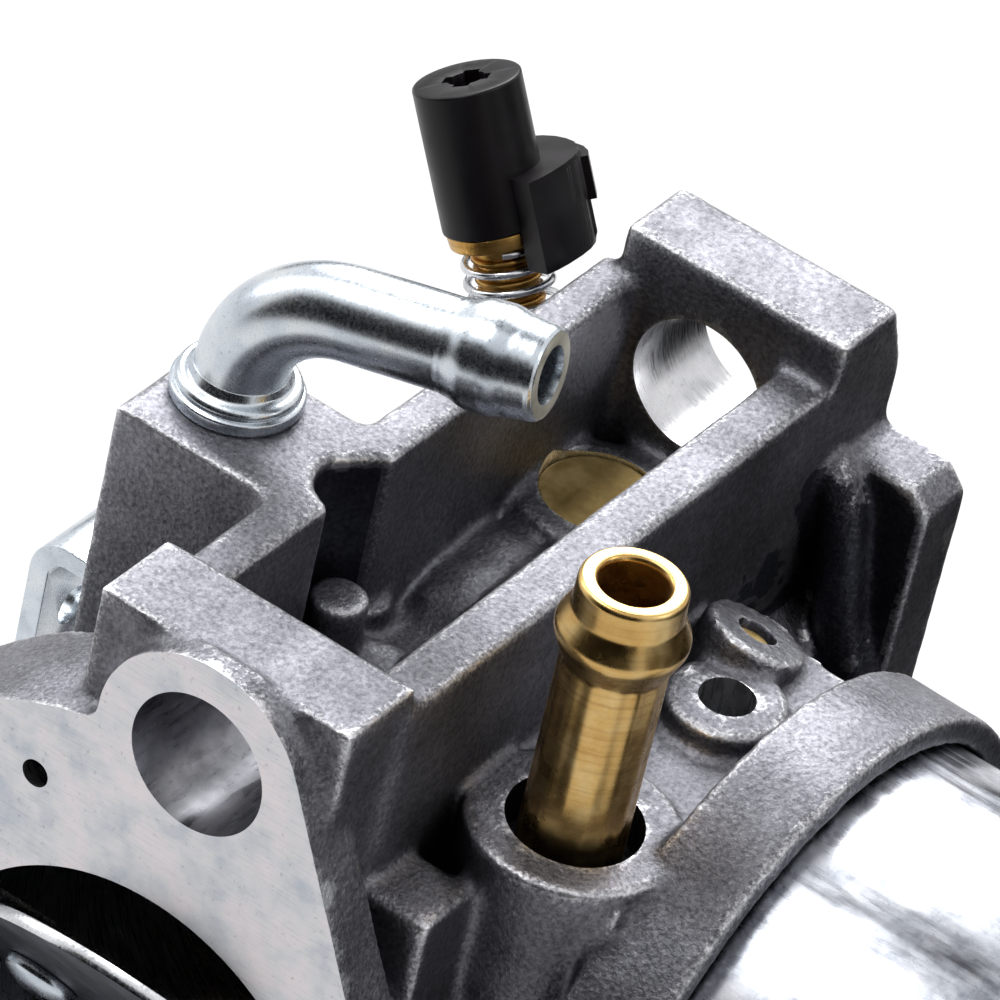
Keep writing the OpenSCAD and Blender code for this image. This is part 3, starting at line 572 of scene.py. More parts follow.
blank = bmesh.new()
blank.from_mesh(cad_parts["body"].data)
bmesh.ops.remove_doubles(blank, verts=blank.verts, dist=1e-6)
for vert in blank.verts:
    if vert.co.x < (0.01 - BODY_LEN) * MM:
        vert.co.x -= SPARE * MM
    if vert.co.x > -0.01 * MM:
        vert.co.x += SPARE * MM
        if abs(abs(vert.co.z) - 29.5 * MM) < 0.3 * MM and abs(vert.co.y) < 10 * MM:
            vert.co.z -= math.copysign(BLOCK_SLOPE * SPARE * MM, vert.co.z)
plugs = bmesh.new()
rod(plugs, (-BODY_LEN - SPARE, 0, 0), (1, 0, 0), BODY_LEN + 2 * SPARE, 14.42)
rod(plugs, (-3.5, 0, 0), (1, 0, 0), 3.5 + SPARE, 15.22)
for side in (1, -1):
    rod(plugs, (-BODY_LEN - SPARE, STUD_Y, side * STUD_Z), (1, 0, 0), 8.2 + SPARE, STUD_R + 0.02)
    rod(plugs, (-7.7, STUD_Y, side * STUD_Z), (1, 0, 0), 7.7 + SPARE, STUD_R + 0.02)
rod(plugs, (THROTTLE_X, 15, 0), (0, 1, 0), 8.6, 4.62)
rod(plugs, (CHOKE_X, 15, 0), (0, 1, 0), 10.9, 3.92)
rod(plugs, (*VENT, 10), (0, 0, 1), 10.5, 4.47)
rod(plugs, (*BLEED, 11), (0, 0, 1), 9.7, 1.77)
rod(plugs, (*PLUG, 17.5), (0, 0, 1), 2.1, 3.82)
rod(plugs, (*IDLE_SPOT, -12), (0, 0, 1), 6, 2.12)
rod(plugs, (-59, 9.3, 18.1), (1, 0, 0), 9, 0.92)
jet_tilt = math.radians(38)
jet_axis = (math.sin(jet_tilt), 0, math.cos(jet_tilt))
rod(plugs, (-19.2, -13.6, 16.6), jet_axis, 4.6, 2.12)
bmesh.ops.recalc_face_normals(plugs, faces=plugs.faces)
spare_mesh = bpy.data.meshes.new("plugs")
plugs.to_mesh(spare_mesh)
blank.from_mesh(spare_mesh)
casting = bpy.data.objects.new("casting", bpy.data.meshes.new("casting"))
bpy.context.scene.collection.objects.link(casting)
blank.to_mesh(casting.data)


# %% [markdown]
# The real casting is softer and busier than the CAD body: a fuller barrel, round bosses, a
# recess with a flow ridge beside the engine flange, a post and a bulge in the pocket. These
# are cut or added as plain solids while the casting is still a blank. A second remesh then
# melts them into one skin, so they get the same fillets as the rest.

# %% Solids for shaping the blank
def slab(low, high):
    """A box between two corners, in mm."""
    bm = bmesh.new()
    corners = bmesh.ops.create_cube(bm, size=1)["verts"]
    for vert in corners:
        vert.co = Vector([(a + b) / 2 + (b - a) * c for a, b, c in zip(low, high, vert.co)]) * MM
    return show("cutter", bm)


def prism(outline, low, high):
    """An outline in X and Y raised from low to high, in mm."""
    bm = bmesh.new()
    ends = [[bm.verts.new(Vector((x, y, z)) * MM) for x, y in outline] for z in (low, high)]
    bm.faces.new(ends[0])
    bm.faces.new(ends[1])
    for k in range(len(outline)):
        n = (k + 1) % len(outline)
        bm.faces.new((ends[0][k], ends[0][n], ends[1][n], ends[1][k]))
    return show("cutter", bm)


def reskin(item, extra=()):
    """Adds solids to a piece and wraps all of it in one even skin."""
    bm = bmesh.new()
    for part in (item, *extra):
        bm.from_mesh(part.data)
    bm.to_mesh(item.data)
    bm.free()
    for part in extra:
        bpy.data.objects.remove(part)
    skin = item.modifiers.new("skin", "REMESH")
    skin.mode, skin.voxel_size = "VOXEL", 0.34 * MM
    return settle(item)


def chain(points, radius):
    """A rounded ridge: short rods with a ball at each joint, in mm."""
    bm = bmesh.new()
    for here, there in zip(points, points[1:]):
        way = Vector(there) - Vector(here)
        rod(bm, here, way, way.length, radius, 24)
    for point in points:
        bmesh.ops.create_icosphere(bm, subdivisions=2, radius=radius * MM, matrix=(
            Matrix.Translation(Vector(point) * MM)))
    return show("ridge", bm)


# %% Cuts in the blank
reskin(casting)
edge_of_skirt = [(-28 + 24.05 * math.sin(a), 24.05 * math.cos(a)) for a in np.linspace(0.6, 1.55,
                                                                                       24)]
overhang = prism(edge_of_skirt + [(-3.9, 26), (-14.4, 26)], 20.7, 23)
overhang.data.transform(Matrix.Rotation(math.pi / 2, 4, "X"))
cut(casting, [
    prism([(-10.8, -9.45), (-14.9, -12.6), (-16.5, -16.4), (-16.9, -18.9), (-17.2, -20.85),
           (-4.4, -20.85), (-4.4, -9.45)], 1.5, 26),
    prism([(-10.0, -9.45), (-14.2, -13.4), (-16.6, -12.0), (-17.6, -9.45)], 14.8, 26),
    prism([(-46, -9.45), (-38.8, -9.45), (-38.8, -14), (-44, -20.85), (-46, -20.85)], 3, 26),
    slab((-56.1, -9.1, 31.42), (-48, 8.6, 36)), slab((-56.1, -9.1, -36), (-48, 8.6, -31.42)),
    overhang,
    prism([(-21.5, -20.6), (-21.5, -9.45), (-9, -9.45), (-9, -20.6)], 19.4, 26)])
print("blank after its cuts:", len(casting.data.polygons), "faces")

# %% Bosses, ridges and the second skin
disc_axis = Vector((0.377, -0.156, 0.912))
disc_top = Vector((-19.6, -14.25, 21.5))
added = bmesh.new()
rod(added, (-56, 0, 0), (1, 0, 0), 54, 16.4, 128)
rod(added, disc_top - disc_axis * 4, disc_axis, 4, 3.3)
rod(added, (*BLEED, 14), (0, 0, 1), 7.0, 3.75)
rod(added, (*VENT, -16), (0, 0, 1), 36.6, 6.45)
rod(added, (-36.5, 4.3, 12), (0, 0, 1), 10.3, 1.8)
rod(added, (*PLUG, 12), (0, 0, 1), 7.25, 5.25)
reskin(casting, [
    show("bosses", added),
    prism([(-36.0, 7.55), (-32.6, 4.75), (-32.6, 8.2), (-36.0, 8.2)], 10, 30.2),
    chain([(-5.2, -9.8, 22.9), (-5.3, -11.0, 21.0), (-5.2, -11.7, 17.5), (-5.4, -12.6, 13.5),
           (-5.0, -14.2, 9.5), (-5.0, -15.6, 5)], 1.6),
    chain([(-26.0, 1.6, 14.1), (-22.8, 1.6, 14.1)], 5.1),
    chain([(-36.2, 3.8, 17.4), (-34.7, 1.2, 17.0), (-34.0, -2.0, 16.0)], 1.9)])
print("blank skin:", len(casting.data.polygons), "faces")


# %% [markdown]
# Each round of smoothing draws every point toward the mean of its neighbours. Low noise along
# the normals then makes the skin slightly uneven, and the mesh is thinned where it is flat.

# %% Fillets and an uneven cast skin
def read_points(mesh, what):
    values = np.empty(len(mesh.vertices) * 3, np.float32)
    mesh.vertices.foreach_get(what, values)
    return values.reshape(-1, 3).astype(float)


def write_points(mesh, points):
    mesh.vertices.foreach_set("co", points.astype(np.float32).ravel())
    mesh.update()


def fillet(mesh, hollow_rounds, edge_rounds):
    """Draws each point toward its neighbours; outer corners stop after edge_rounds."""
    count = len(mesh.vertices)
    ends = np.empty(len(mesh.edges) * 2, np.int32)
    mesh.edges.foreach_get("vertices", ends)
    a, b = ends.reshape(-1, 2).T
    degree = (np.bincount(a, minlength=count) + np.bincount(b, minlength=count))[:, None]
    points = read_points(mesh, "co")
    for i in range(hollow_rounds):
        mean = np.stack([np.bincount(a, points[b, k], count) + np.bincount(b, points[a, k], count)
                         for k in range(3)], 1) / degree
        step = mean - points
        hollow = (step * read_points(mesh, "normal")).sum(1) > 0
        points += 0.5 * step * (hollow | (i < edge_rounds))[:, None]
        write_points(mesh, points)


fillet(casting.data, 7, 2)
points, normals = read_points(casting.data, "co"), read_points(casting.data, "normal")
swell = np.array([0.045 * noise.noise(p * per_mm(3.1)) + 0.022 * noise.noise(p * per_mm(0.9))
                  for p in map(Vector, points)])
low, high = (np.array(corner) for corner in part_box("body"))
points += normals * (swell * MM)[:, None]
points[:, 1:] = np.clip(points[:, 1:], low[1:] + 0.01 * MM, high[1:] - 0.01 * MM)
write_points(casting.data, points)
thin = casting.modifiers.new("thin", "DECIMATE")
thin.ratio = 0.46
settle(casting)
print("rounded casting:", len(casting.data.polygons), "faces")

# %% [markdown]
# Now the machining. Each cutter is a plain solid that runs past the face it opens at, and a
# boolean with the manifold solver takes it away, so the cut edges come out crisp. A face
# that lies on a cutter's surface is machined metal, and the rest stays cast.

# %% Machining
def cutter(outline, place, sides=96):
    bm = bmesh.new()
    spin(bm, outline, place, sides)
    return show("cutter", bm)


def drill(start, direction, length, radius, sides=64):
    return cutter([(0, 0), (radius, 0), (radius, length), (0, length)],
                  axis_place(start, direction), sides)


bore = [(0, -60), (14.4, -60), (14.4, -46), (10.5, -35), (10.5, -26), (13.25, -19),
        (13.25, -2), (15.2, -2), (15.2, 1), (0, 1)]
cutters = [slab((-64, -40, -45), (-BODY_LEN, 40, 45)), slab((0, -40, -45), (6, 40, 45)),
           cutter(bore, axis_place((0, 0, 0), (1, 0, 0)), 160)]
cutters += [drill((-60, STUD_Y, side * STUD_Z), (1, 0, 0), 62, STUD_R, 96) for side in (1, -1)]
cutters += [
    drill((-59, 9.3, 18.1), (1, 0, 0), 9, 0.9, 32),
    drill((THROTTLE_X, -18.4, 0), (0, 1, 0), 48, 3.05),
    drill((THROTTLE_X, 21.6, 0), (0, 1, 0), 9, 4.6),
    drill((CHOKE_X, -17.2, 0), (0, 1, 0), 48, 2.55), drill((CHOKE_X, 24.3, 0), (0, 1, 0), 9, 3.9),
    drill((*IDLE_SPOT, -14), (0, 0, 1), 12, 2.1, 48),
    drill((*VENT, 17.5), (0, 0, 1), 8, 4.1), drill((*VENT, 12.5), (0, 0, 1), 8, 3.4),
    drill((*BLEED, 12), (0, 0, 1), 12, 1.75, 48),
    cutter([(0, -1.2), (1.2, -1.2), (1.2, -0.15), (1.32, 0), (1.4, 1), (0, 1)],
           axis_place(disc_top, disc_axis), 48),
    drill((*PLUG, 18.4), (0, 0, 1), 8, 3.8)]
cut(casting, cutters)
print("machined casting:", len(casting.data.polygons), "faces")

# %% [markdown]
# The finish of each face follows from where it lies and which way it looks: on a milled end,
# on the wall of a hole, on a face in the pocket, recess or holes that gets painted shade, or
# anywhere else on the cast skin.

# %% Which finish goes where
casting.data.materials.clear()
for material in (cast_aluminium, milled_face, drilled_wall, cored_wall, oily_casting):
    casting.data.materials.append(material)
CAST, MILLED, DRILLED, SHADED_STUD, SHADED = 0, 1, 2, 3, 4
count = len(casting.data.polygons)
centres, facing = np.empty(count * 3, np.float32), np.empty(count * 3, np.float32)
casting.data.polygons.foreach_get("center", centres)
casting.data.polygons.foreach_get("normal", facing)
centres, facing = centres.reshape(-1, 3) / MM, facing.reshape(-1, 3)
kinds = np.zeros(count, np.int32)
flat_end = (np.abs(centres[:, 0] + BODY_LEN) < 0.004) | (np.abs(centres[:, 0]) < 0.004)
kinds[flat_end & (np.abs(facing[:, 0]) > 0.9995)] = MILLED
for y, z, radius, low, high in ((STUD_Y, STUD_Z, STUD_R, -58, 0), (STUD_Y, -STUD_Z, STUD_R, -58, 0),
                                (0, 0, 14.4, -58, -46), (0, 0, 13.25, -19, -2),
                                (0, 0, 15.2, -2, 0), (9.3, 18.1, 0.9, -58, -50)):
    away = np.hypot(centres[:, 1] - y, centres[:, 2] - z)
    inside = (centres[:, 0] > low - 0.01) & (centres[:, 0] < high + 0.01)
    kinds[(np.abs(away - radius) < 0.05) & inside & (np.abs(facing[:, 0]) < 0.3)] = DRILLED
throat = (np.hypot(centres[:, 1], centres[:, 2]) < 14.45) & (kinds == CAST)
kinds[throat & (centres[:, 0] > -50)] = DRILLED
# Painted shade: the wall of the vent hole takes the shaded casting.
for x, y, low, radius, kind in ((*VENT, 12, 4.1, SHADED), (*BLEED, 12, 1.75, DRILLED),
                                (*PLUG, 18.3, 3.8, DRILLED)):
    near = np.hypot(centres[:, 0] - x, centres[:, 1] - y) < radius + 0.01
    kinds[near & (centres[:, 2] > low - 0.1) & (centres[:, 2] < 21)] = kind
# Painted shade inside the hole of the sloped boss.
from_disc = centres - np.array(disc_top)
depth = from_disc @ np.array(disc_axis)
off_axis = np.linalg.norm(from_disc - depth[:, None] * np.array(disc_axis), axis=1)
kinds[(off_axis < 1.3) & (depth < -0.02) & (depth > -2)] = SHADED
# Painted shade: the stud-hole walls near the filter end take the darker hole finish.
stud_wall = (np.abs(np.hypot(centres[:, 1] - STUD_Y,
                             np.abs(centres[:, 2]) - STUD_Z) - STUD_R) < 0.05)
kinds[stud_wall & (kinds == DRILLED) & (centres[:, 0] < -45)] = SHADED_STUD
x, y, z = centres.T
# Painted shade: the far wall and the floor of the pocket take the shaded casting.
pocket = (x > -49.7) & (x < -7.8) & (y > -5.95) & (y < 7.6) & (z > 8) & (z < 29.4)
far_wall = (facing[:, 1] < -0.55) & (y > 5.2)
kinds[pocket & (kinds == CAST) & (far_wall | (z < 14.5))] = SHADED
# Painted shade: the sides of the recess that do not look up take the shaded casting.
recess = (x > -13) & (x < -4.35) & (y > -16.3) & (y < -9.45) & (z > 5) & (z < 23.9)
kinds[recess & (kinds == CAST) & (facing[:, 2] < 0.5)] = SHADED
casting.data.polygons.foreach_set("material_index", kinds)
soften(casting, 48)
hand_over(casting, "carburetor", "cast_aluminium", "body")

# %% [markdown]
# ## Tubes
# The fuel inlet is steel tube, bent round a former and then swaged: its end is swelled into a
# bead that holds the hose, and a collar is pressed on where it enters the casting. A tube
# follows a path, so it is grown by Geometry Nodes from a line of points that carry their
# own radius. The same tree grows the hole, which is then cut out.

# %% A tree that sweeps a round section along a path
def new_tree(name, takes_path, **inputs):
    """An empty geometry tree with named inputs; returns it with its two end nodes."""
    tree = bpy.data.node_groups.new(name, "GeometryNodeTree")
    face = tree.interface
    if takes_path:
        face.new_socket("Path", in_out="INPUT", socket_type="NodeSocketGeometry")
    for label, default in inputs.items():
        kind = "NodeSocketInt" if isinstance(default, int) else "NodeSocketFloat"
        face.new_socket(label.replace("_", " "), in_out="INPUT",
                        socket_type=kind).default_value = default
    face.new_socket("Finish", in_out="INPUT", socket_type="NodeSocketMaterial")
    face.new_socket("Geometry", in_out="OUTPUT", socket_type="NodeSocketGeometry")
    return tree, add_node(tree, "NodeGroupInput").outputs


def close_tree(tree, geometry, finish):
    """Every tree ends the same way: real geometry, with its material set."""
    real = add_node(tree, "GeometryNodeRealizeInstances", {0: geometry})
    smooth = add_node(tree, "GeometryNodeSetShadeSmooth", {0: real.outputs[0]})
    painted = add_node(tree, "GeometryNodeSetMaterial",
                       {"Geometry": smooth.outputs[0], "Material": finish})
    add_node(tree, "NodeGroupOutput", {0: painted.outputs[0]})


def grow(name, tree, place=None, path=None, **values):
    """Runs a tree once and keeps its mesh as a plain object."""
    item = bpy.data.objects.new(name, path or bpy.data.meshes.new(name))
    bpy.context.scene.collection.objects.link(item)
    step = item.modifiers.new("grow", "NODES")
    step.node_group = tree
    for socket in tree.interface.items_tree:
        label = socket.name.replace(" ", "_")
        if socket.in_out == "INPUT" and label in values:
            step[socket.identifier] = values[label]
    settle(item)
    if place is not None:
        item.data.transform(place)
    return item


sweep_tree, given = new_tree("tube_along_path", True, Sides=72)
line = add_node(sweep_tree, "GeometryNodeMeshToCurve", {0: given["Path"]})
size = add_node(sweep_tree, "GeometryNodeInputNamedAttribute", {"Name": "radius"},
                data_type="FLOAT")
ring = add_node(sweep_tree, "GeometryNodeCurvePrimitiveCircle",
                {"Resolution": given["Sides"], "Radius": 1.0})
tube = add_node(sweep_tree, "GeometryNodeCurveToMesh", {
    "Curve": line.outputs[0], "Profile Curve": ring.outputs[0],
    "Scale": size.outputs["Attribute"], "Fill Caps": True})
close_tree(sweep_tree, tube.outputs[0], given["Finish"])


# %% [markdown]
# The inlet's path is a riser, a bend and a straight spigot. One profile gives the outside its
# swaged bead, another gives the bore, and the sawn end shows bare metal.

# %% The fuel inlet
def path_mesh(name, points, radii):
    """A line of points in mm, each with its own radius."""
    mesh = bpy.data.meshes.new(name)
    mesh.from_pydata([Vector(p) * MM for p in points],
                     [(i, i + 1) for i in range(len(points) - 1)], [])
    sizes = mesh.attributes.new("radius", "FLOAT", "POINT")
    sizes.data.foreach_set("value", [r * MM for r in radii])
    return mesh


FUEL = Vector((-35.2, 14.5, 0))
fuel_turn, fuel_bend, BEND_R = math.radians(-80.1), math.radians(82), 7
corner_z = 38.3
tangent = BEND_R * math.tan(fuel_bend / 2)
straight = 18.4 - tangent
aside = Vector((math.cos(fuel_turn), math.sin(fuel_turn), 0))
spigot_way = aside * math.sin(fuel_bend) + Vector((0, 0, math.cos(fuel_bend)))


def fuel_point(s):
    """The middle of the tube s mm past the start of its bend; s below 0 is in the riser."""
    start = FUEL + Vector((0, 0, corner_z - tangent))
    if s <= 0:
        return start + Vector((0, 0, s))
    turned_by = min(s / BEND_R, fuel_bend)
    point = start + aside * BEND_R * (1 - math.cos(turned_by)) + Vector(
        (0, 0, BEND_R * math.sin(turned_by)))
    return point + spigot_way * max(0, s - BEND_R * fuel_bend)


def blend_through(s, stops):
    """A smooth value along a list of (place, value)."""
    for (s0, v0), (s1, v1) in zip(stops, stops[1:]):
        if s <= s1:
            t = max(0, min(1, (s - s0) / (s1 - s0)))
            return v0 + (v1 - v0) * t * t * (3 - 2 * t)
    return stops[-1][1]


# %% Outside, bore and collar of the inlet
end = BEND_R * fuel_bend + straight
outer = [(-9, 2.85), (-1.0, 2.85), (BEND_R * fuel_bend / 2, 2.80), (end - 6.0, 2.83),
         (end - 5.85, 2.90), (end - 4.2, 3.30), (end - 3.2, 3.32), (end - 1.75, 3.02),
         (end - 1.65, 3.06), (end - 1.5, 2.98), (end - 0.5, 2.88), (end - 0.2, 2.80),
         (end - 0.05, 2.68), (end, 2.60)]
stations = [-9 + i * 0.16 for i in range(int((end + 8.5) / 0.16))] + [
    end - d for d in (0.5, 0.42, 0.34, 0.26, 0.19, 0.13, 0.08, 0.04, 0)]
fuel_inlet = grow("fuel_inlet", sweep_tree, path=path_mesh(
    "fuel_path", [fuel_point(s) for s in stations],
    [blend_through(s, outer) for s in stations]), Sides=80, Finish=zinc_plate)
inner = [(-7, 1.7), (end - 0.15, 1.7), (end + 0.05, 1.8), (end + 1, 1.85)]
stations = [-7 + i * 0.25 for i in range(int((end + 7) / 0.25))] + [end, end + 0.15, end + 1]
fuel_hole = grow("fuel_hole", sweep_tree, path=path_mesh(
    "fuel_hole_path", [fuel_point(s) for s in stations],
    [blend_through(s, inner) for s in stations]), Sides=48, Finish=bare_steel)
cut(fuel_inlet, [fuel_hole])
collar = turned("fuel_collar", [(2.6, 30.15), (3.9, 30.15), (4.05, 30.45, 0.4), (4.03, 31.05, 0.5),
                                (3.74, 31.14, 0.08), (3.72, 31.22, 0.04), (3.82, 31.45, 0.25),
                                (3.62, 31.78, 0.25), (3.10, 31.86, 0.3), (2.86, 32.5),
                                (2.6, 32.5)],
                axis_place((FUEL.x, FUEL.y, 0), (0, 0, 1)), zinc_plate)
fuel_inlet.data.materials.append(sawn_end)
for face in fuel_inlet.data.polygons:
    if face.normal @ spigot_way > 0.97 and (face.center - fuel_point(end) * MM).length < 3 * MM:
        face.material_index = len(fuel_inlet.data.materials) - 1
soften(fuel_inlet, 50)
hand_over(fuel_inlet, "carburetor", "zinc_steel", "fuel_elbow")
hand_over(collar, "carburetor", "zinc_steel")

# %% [markdown]
# The vent tube and the plug are brass. The tube is turned from bar, with a bead near its top
# and a polished ring on its end. The plug is a shallow dished disc pressed into its seat,
# and a smaller one closes the sloped boss.

# %% Vent tube and plug
VENT_TOP, VENT_R, VENT_HOLE = 38.3, 3.17, 2.06
FACETS, FACET_DEPTH = 15, 0.03 * MM
vent_tube = turned("vent_tube", [
    (VENT_HOLE, -25.6), (VENT_R, -25.6), (VENT_R, -5.5, 0.3), (VENT_R + 0.72, -3.85, 0.15),
    (VENT_R + 0.76, -3.35, 0.3), (VENT_R + 0.08, -1.95, 0.2), (VENT_R + 0.02, -0.25, 0.25),
    (VENT_R - 0.18, 0, 0.12), (VENT_HOLE + 0.16, 0, 0.12), (VENT_HOLE, -0.3, 0.1),
    (VENT_HOLE, -25.6)],
    axis_place((*VENT, VENT_TOP), (0, 0, 1)), brass_tube, sides=192)
for vert in vent_tube.data.vertices:
    out = Vector((vert.co.x - VENT[0] * MM, vert.co.y - VENT[1] * MM, 0))
    if out.length > 2.9 * MM and vert.co.z < (VENT_TOP - 5.4) * MM:
        wave = math.cos(FACETS * math.atan2(out.y, out.x))
        vert.co += out.normalized() * (FACET_DEPTH * wave - FACET_DEPTH)
hand_over(vent_tube, "carburetor", "brass", "vent_spigot")
plug = turned("core_plug", [(0, 0), (3.78, 0), (3.78, 0.82, 0.15), (3.6, 0.98, 0.12),
                            (3.3, 0.96, 0.3),
                            (2.2, 0.84, 0.6), (0, 0.78)],
              axis_place((*PLUG, 18.4), (0, 0, 1)), brass_plug, sides=96)
hand_over(plug, "carburetor", "brass", "welch_plug")
bleed_plug = turned("bleed_plug", [(0, -1.15), (1.12, -1.15), (1.12, -0.55, 0.1), (0, -0.48)],
                    axis_place(disc_top, disc_axis), brass_plug, sides=48)
hand_over(bleed_plug, "carburetor", "brass", "air_jet")

# %% [markdown]
# ## Springs and threads
# A spring is wire wound into a helix, and a thread is the same helix with a pointed section
# and hardly any lead. Both follow a rule, so each has a tree with its sizes as inputs.

# %% Trees for springs and threads
coil_tree, given = new_tree("wire_coil", False, Turns=4.0, Start_Radius=0.003, End_Radius=0.003,
                            Height=0.006, Wire_Radius=0.0003)
helix = add_node(coil_tree, "GeometryNodeCurveSpiral", {
    "Resolution": 56, "Rotations": given["Turns"], "Start Radius": given["Start Radius"],
    "End Radius": given["End Radius"], "Height": given["Height"]})
upright = add_node(coil_tree, "GeometryNodeSetCurveNormal", {"Curve": helix.outputs[0]})
section = add_node(coil_tree, "GeometryNodeCurvePrimitiveCircle",
                   {"Resolution": 16, "Radius": given["Wire Radius"]})
wire = add_node(coil_tree, "GeometryNodeCurveToMesh", {
    "Curve": upright.outputs[0], "Profile Curve": section.outputs[0], "Fill Caps": True})
close_tree(coil_tree, wire.outputs[0], given["Finish"])

thread_tree, given = new_tree("thread_ridge", False, Turns=8.0, Mean_Radius=0.0018,
                              Height=0.006, Depth=0.0003)
helix = add_node(thread_tree, "GeometryNodeCurveSpiral", {
    "Resolution": 48, "Rotations": given["Turns"], "Start Radius": given["Mean Radius"],
    "End Radius": given["Mean Radius"], "Height": given["Height"]})
section = add_node(thread_tree, "GeometryNodeCurvePrimitiveCircle",
                   {"Resolution": 6, "Radius": given["Depth"]})
ridge = add_node(thread_tree, "GeometryNodeCurveToMesh", {
    "Curve": helix.outputs[0], "Profile Curve": section.outputs[0], "Fill Caps": True})
close_tree(thread_tree, ridge.outputs[0], given["Finish"])


def spring(name, node, place, turns, start, end, wire, height, body="carburetor"):
    """A coil with the middle of its wire on the radii start and end, in mm."""
    lift = Matrix.Translation((0, 0, wire))
    item = grow(name, coil_tree, place @ lift @ Matrix.Scale(1 / MM, 4), Turns=turns,
                Start_Radius=start * MM, End_Radius=end * MM, Height=(height - 2 * wire) * MM,
                Wire_Radius=wire * MM, Finish=spring_wire)
    return hand_over(soften(item, 60), body, "spring_steel", node)


def mixture_way():
    """The frame of the mixture screw: Z runs up its axis, out of its boss."""
    turn = Matrix.Rotation(math.radians(2), 4, "Y")
    tilt = Matrix.Rotation(math.radians(-28), 4, "X")
    return Matrix.Scale(MM, 4) @ Matrix.Translation((-7.8, 12.5, 24.1)) @ turn @ tilt


MIXTURE = mixture_way()
spring("throttle_return_spring", "throttle_spring", axis_place((THROTTLE_X, 19.8, 0), (0, 1, 0)),
       4.25, 6.4, 6.4, 0.45, 6.2)
spring("mixture_detent_spring", "mixture_spring", MIXTURE @ Matrix.Translation((0, 0, -1.95)),
       4.4, 2.75, 2.42, 0.27, 5.95)
spring("idle_detent_spring", "idle_spring", axis_place((*IDLE_SPOT, -17.55), (0, 0, 1)),
       4.5, 2.7, 2.7, 0.35, 5.5)


def thread(name, place, radius, depth, low, high, pitch, finish):
    """A thread ridge from low to high along Z, on a core of that radius, in mm."""
    return grow(name, thread_tree, place @ Matrix.Translation((0, 0, low)) @ Matrix.Scale(1 / MM,
                                                                                          4),
                Turns=(high - low) / pitch, Mean_Radius=radius * MM, Height=(high - low) * MM,
                Depth=depth * MM, Finish=finish)


# %% [markdown]
# The mixture screw is brass and ends in a needle. The idle screw is plated steel with a
# slotted head. Each has its thread as a ridge that winds round its core.

# %% The adjusting screws
mixture_core = turned("mixture_needle", [(0, -12.4), (0.3, -12.35), (0.95, -9), (1.75, -8.2),
                                         (1.78, 4.0), (3.1, 4.1), (3.2, 5.08), (2.38, 5.1),
                                         (2.38, 11),
                                         (0, 11)], MIXTURE, brass_screw)
mixture_thread = thread("mixture_thread", MIXTURE, 1.8, 0.25, -7.8, 3.5, 0.7, brass_screw)
hand_over(mixture_core, "mixture_adjuster", "brass", "mixture_screw")
hand_over(mixture_thread, "mixture_adjuster", "brass")
IDLE = axis_place((*IDLE_SPOT, 0), (0, 0, 1))
idle_core = turned("idle_stop_screw", [(0, -20.6), (3.3, -20.6), (3.5, -20.35), (3.5, -17.85),
                                       (3.3, -17.6), (1.75, -17.6), (1.75, -0.9), (1.4, -0.1),
                                       (0, -0.1)], IDLE, zinc_plate)
cut(idle_core, [slab((-9.5, 23.35, -21.2), (0.5, 24.25, -19.4))])
soften(idle_core, 40)
idle_thread = thread("idle_thread", IDLE, 1.8, 0.24, -17.3, -1.0, 0.7, zinc_plate)
hand_over(idle_core, "idle_adjuster", "zinc_steel", "idle_screw")
hand_over(idle_thread, "idle_adjuster", "zinc_steel")

# %% [markdown]
# ## The limiter cap
# A nylon cap pressed on the mixture screw stops it from being turned far. A turned barrel, a
# raised outline for the tab and a small nib are joined, and the recess for the driver is cut
# into the top. The tab also has fine upright ribs, which are one bar repeated along an arc.

# %% Cap and its ribs
barrel = turned("barrel", [(0, 5.1), (3.36, 5.1, 0.15), (3.36, 14.4, 0.2), (0, 14.4)], MIXTURE,
                black_nylon, sides=128)
TAB = [(-1.0, -1.5), (-1.55, -2.7), (-2.1, -4.66), (-1.3, -4.92), (-0.3, -5.06), (1.0, -5.1),
       (2.1, -5.0), (3.1, -4.68), (3.95, -4.15), (4.65, -3.4), (5.1, -2.5), (5.4, -1.5),
       (5.45, -0.5), (5.25, 0.4), (4.7, 1.15), (3.8, 1.6), (2.0, 1.9)]
tab = prism(TAB, 2.7, 8.6)
tab.data.transform(MIXTURE @ Matrix.Scale(1 / MM, 4))
cut(barrel, [tab], "UNION")
nib = prism([(4.0, -4.75), (4.8, -4.2), (5.45, -3.4), (5.85, -2.5), (6.0, -1.7), (5.0, -1.6),
             (3.4, -4.0)], 5.2, 8.0)
nib.data.transform(MIXTURE @ Matrix.Scale(1 / MM, 4))
cut(barrel, [nib], "UNION")
hollows = [cutter([(0, 0), (2.42, 0), (2.42, 11), (0, 11)], MIXTURE),
           cutter([(0, 2), (3.3, 2), (3.3, 5.3), (0, 5.3)], MIXTURE),
           cutter([(0, 10.5), (1.15, 10.5), (1.15, 16), (0, 16)], MIXTURE, 48)]
for turn in (20, 110):
    bar = slab((-1.45, -0.5, 12.6), (1.45, 0.5, 16))
    bar.data.transform(MIXTURE @ Matrix.Rotation(math.radians(turn), 4, "Z")
                       @ Matrix.Scale(1 / MM, 4))
    hollows.append(bar)
cap = cut(barrel, hollows)
cap.name = "limiter_cap_moulding"
lip = cap.modifiers.new("lip", "BEVEL")
lip.width, lip.segments, lip.use_clamp_overlap = 0.1 * MM, 2, True
lip.limit_method, lip.angle_limit = "ANGLE", math.radians(40)
soften(settle(cap), 35)
even = cap.modifiers.new("even", "WEIGHTED_NORMAL")
even.weight, even.keep_sharp = 100, True
settle(cap)
hand_over(cap, "mixture_adjuster", "black_plastic", "limiter_cap")

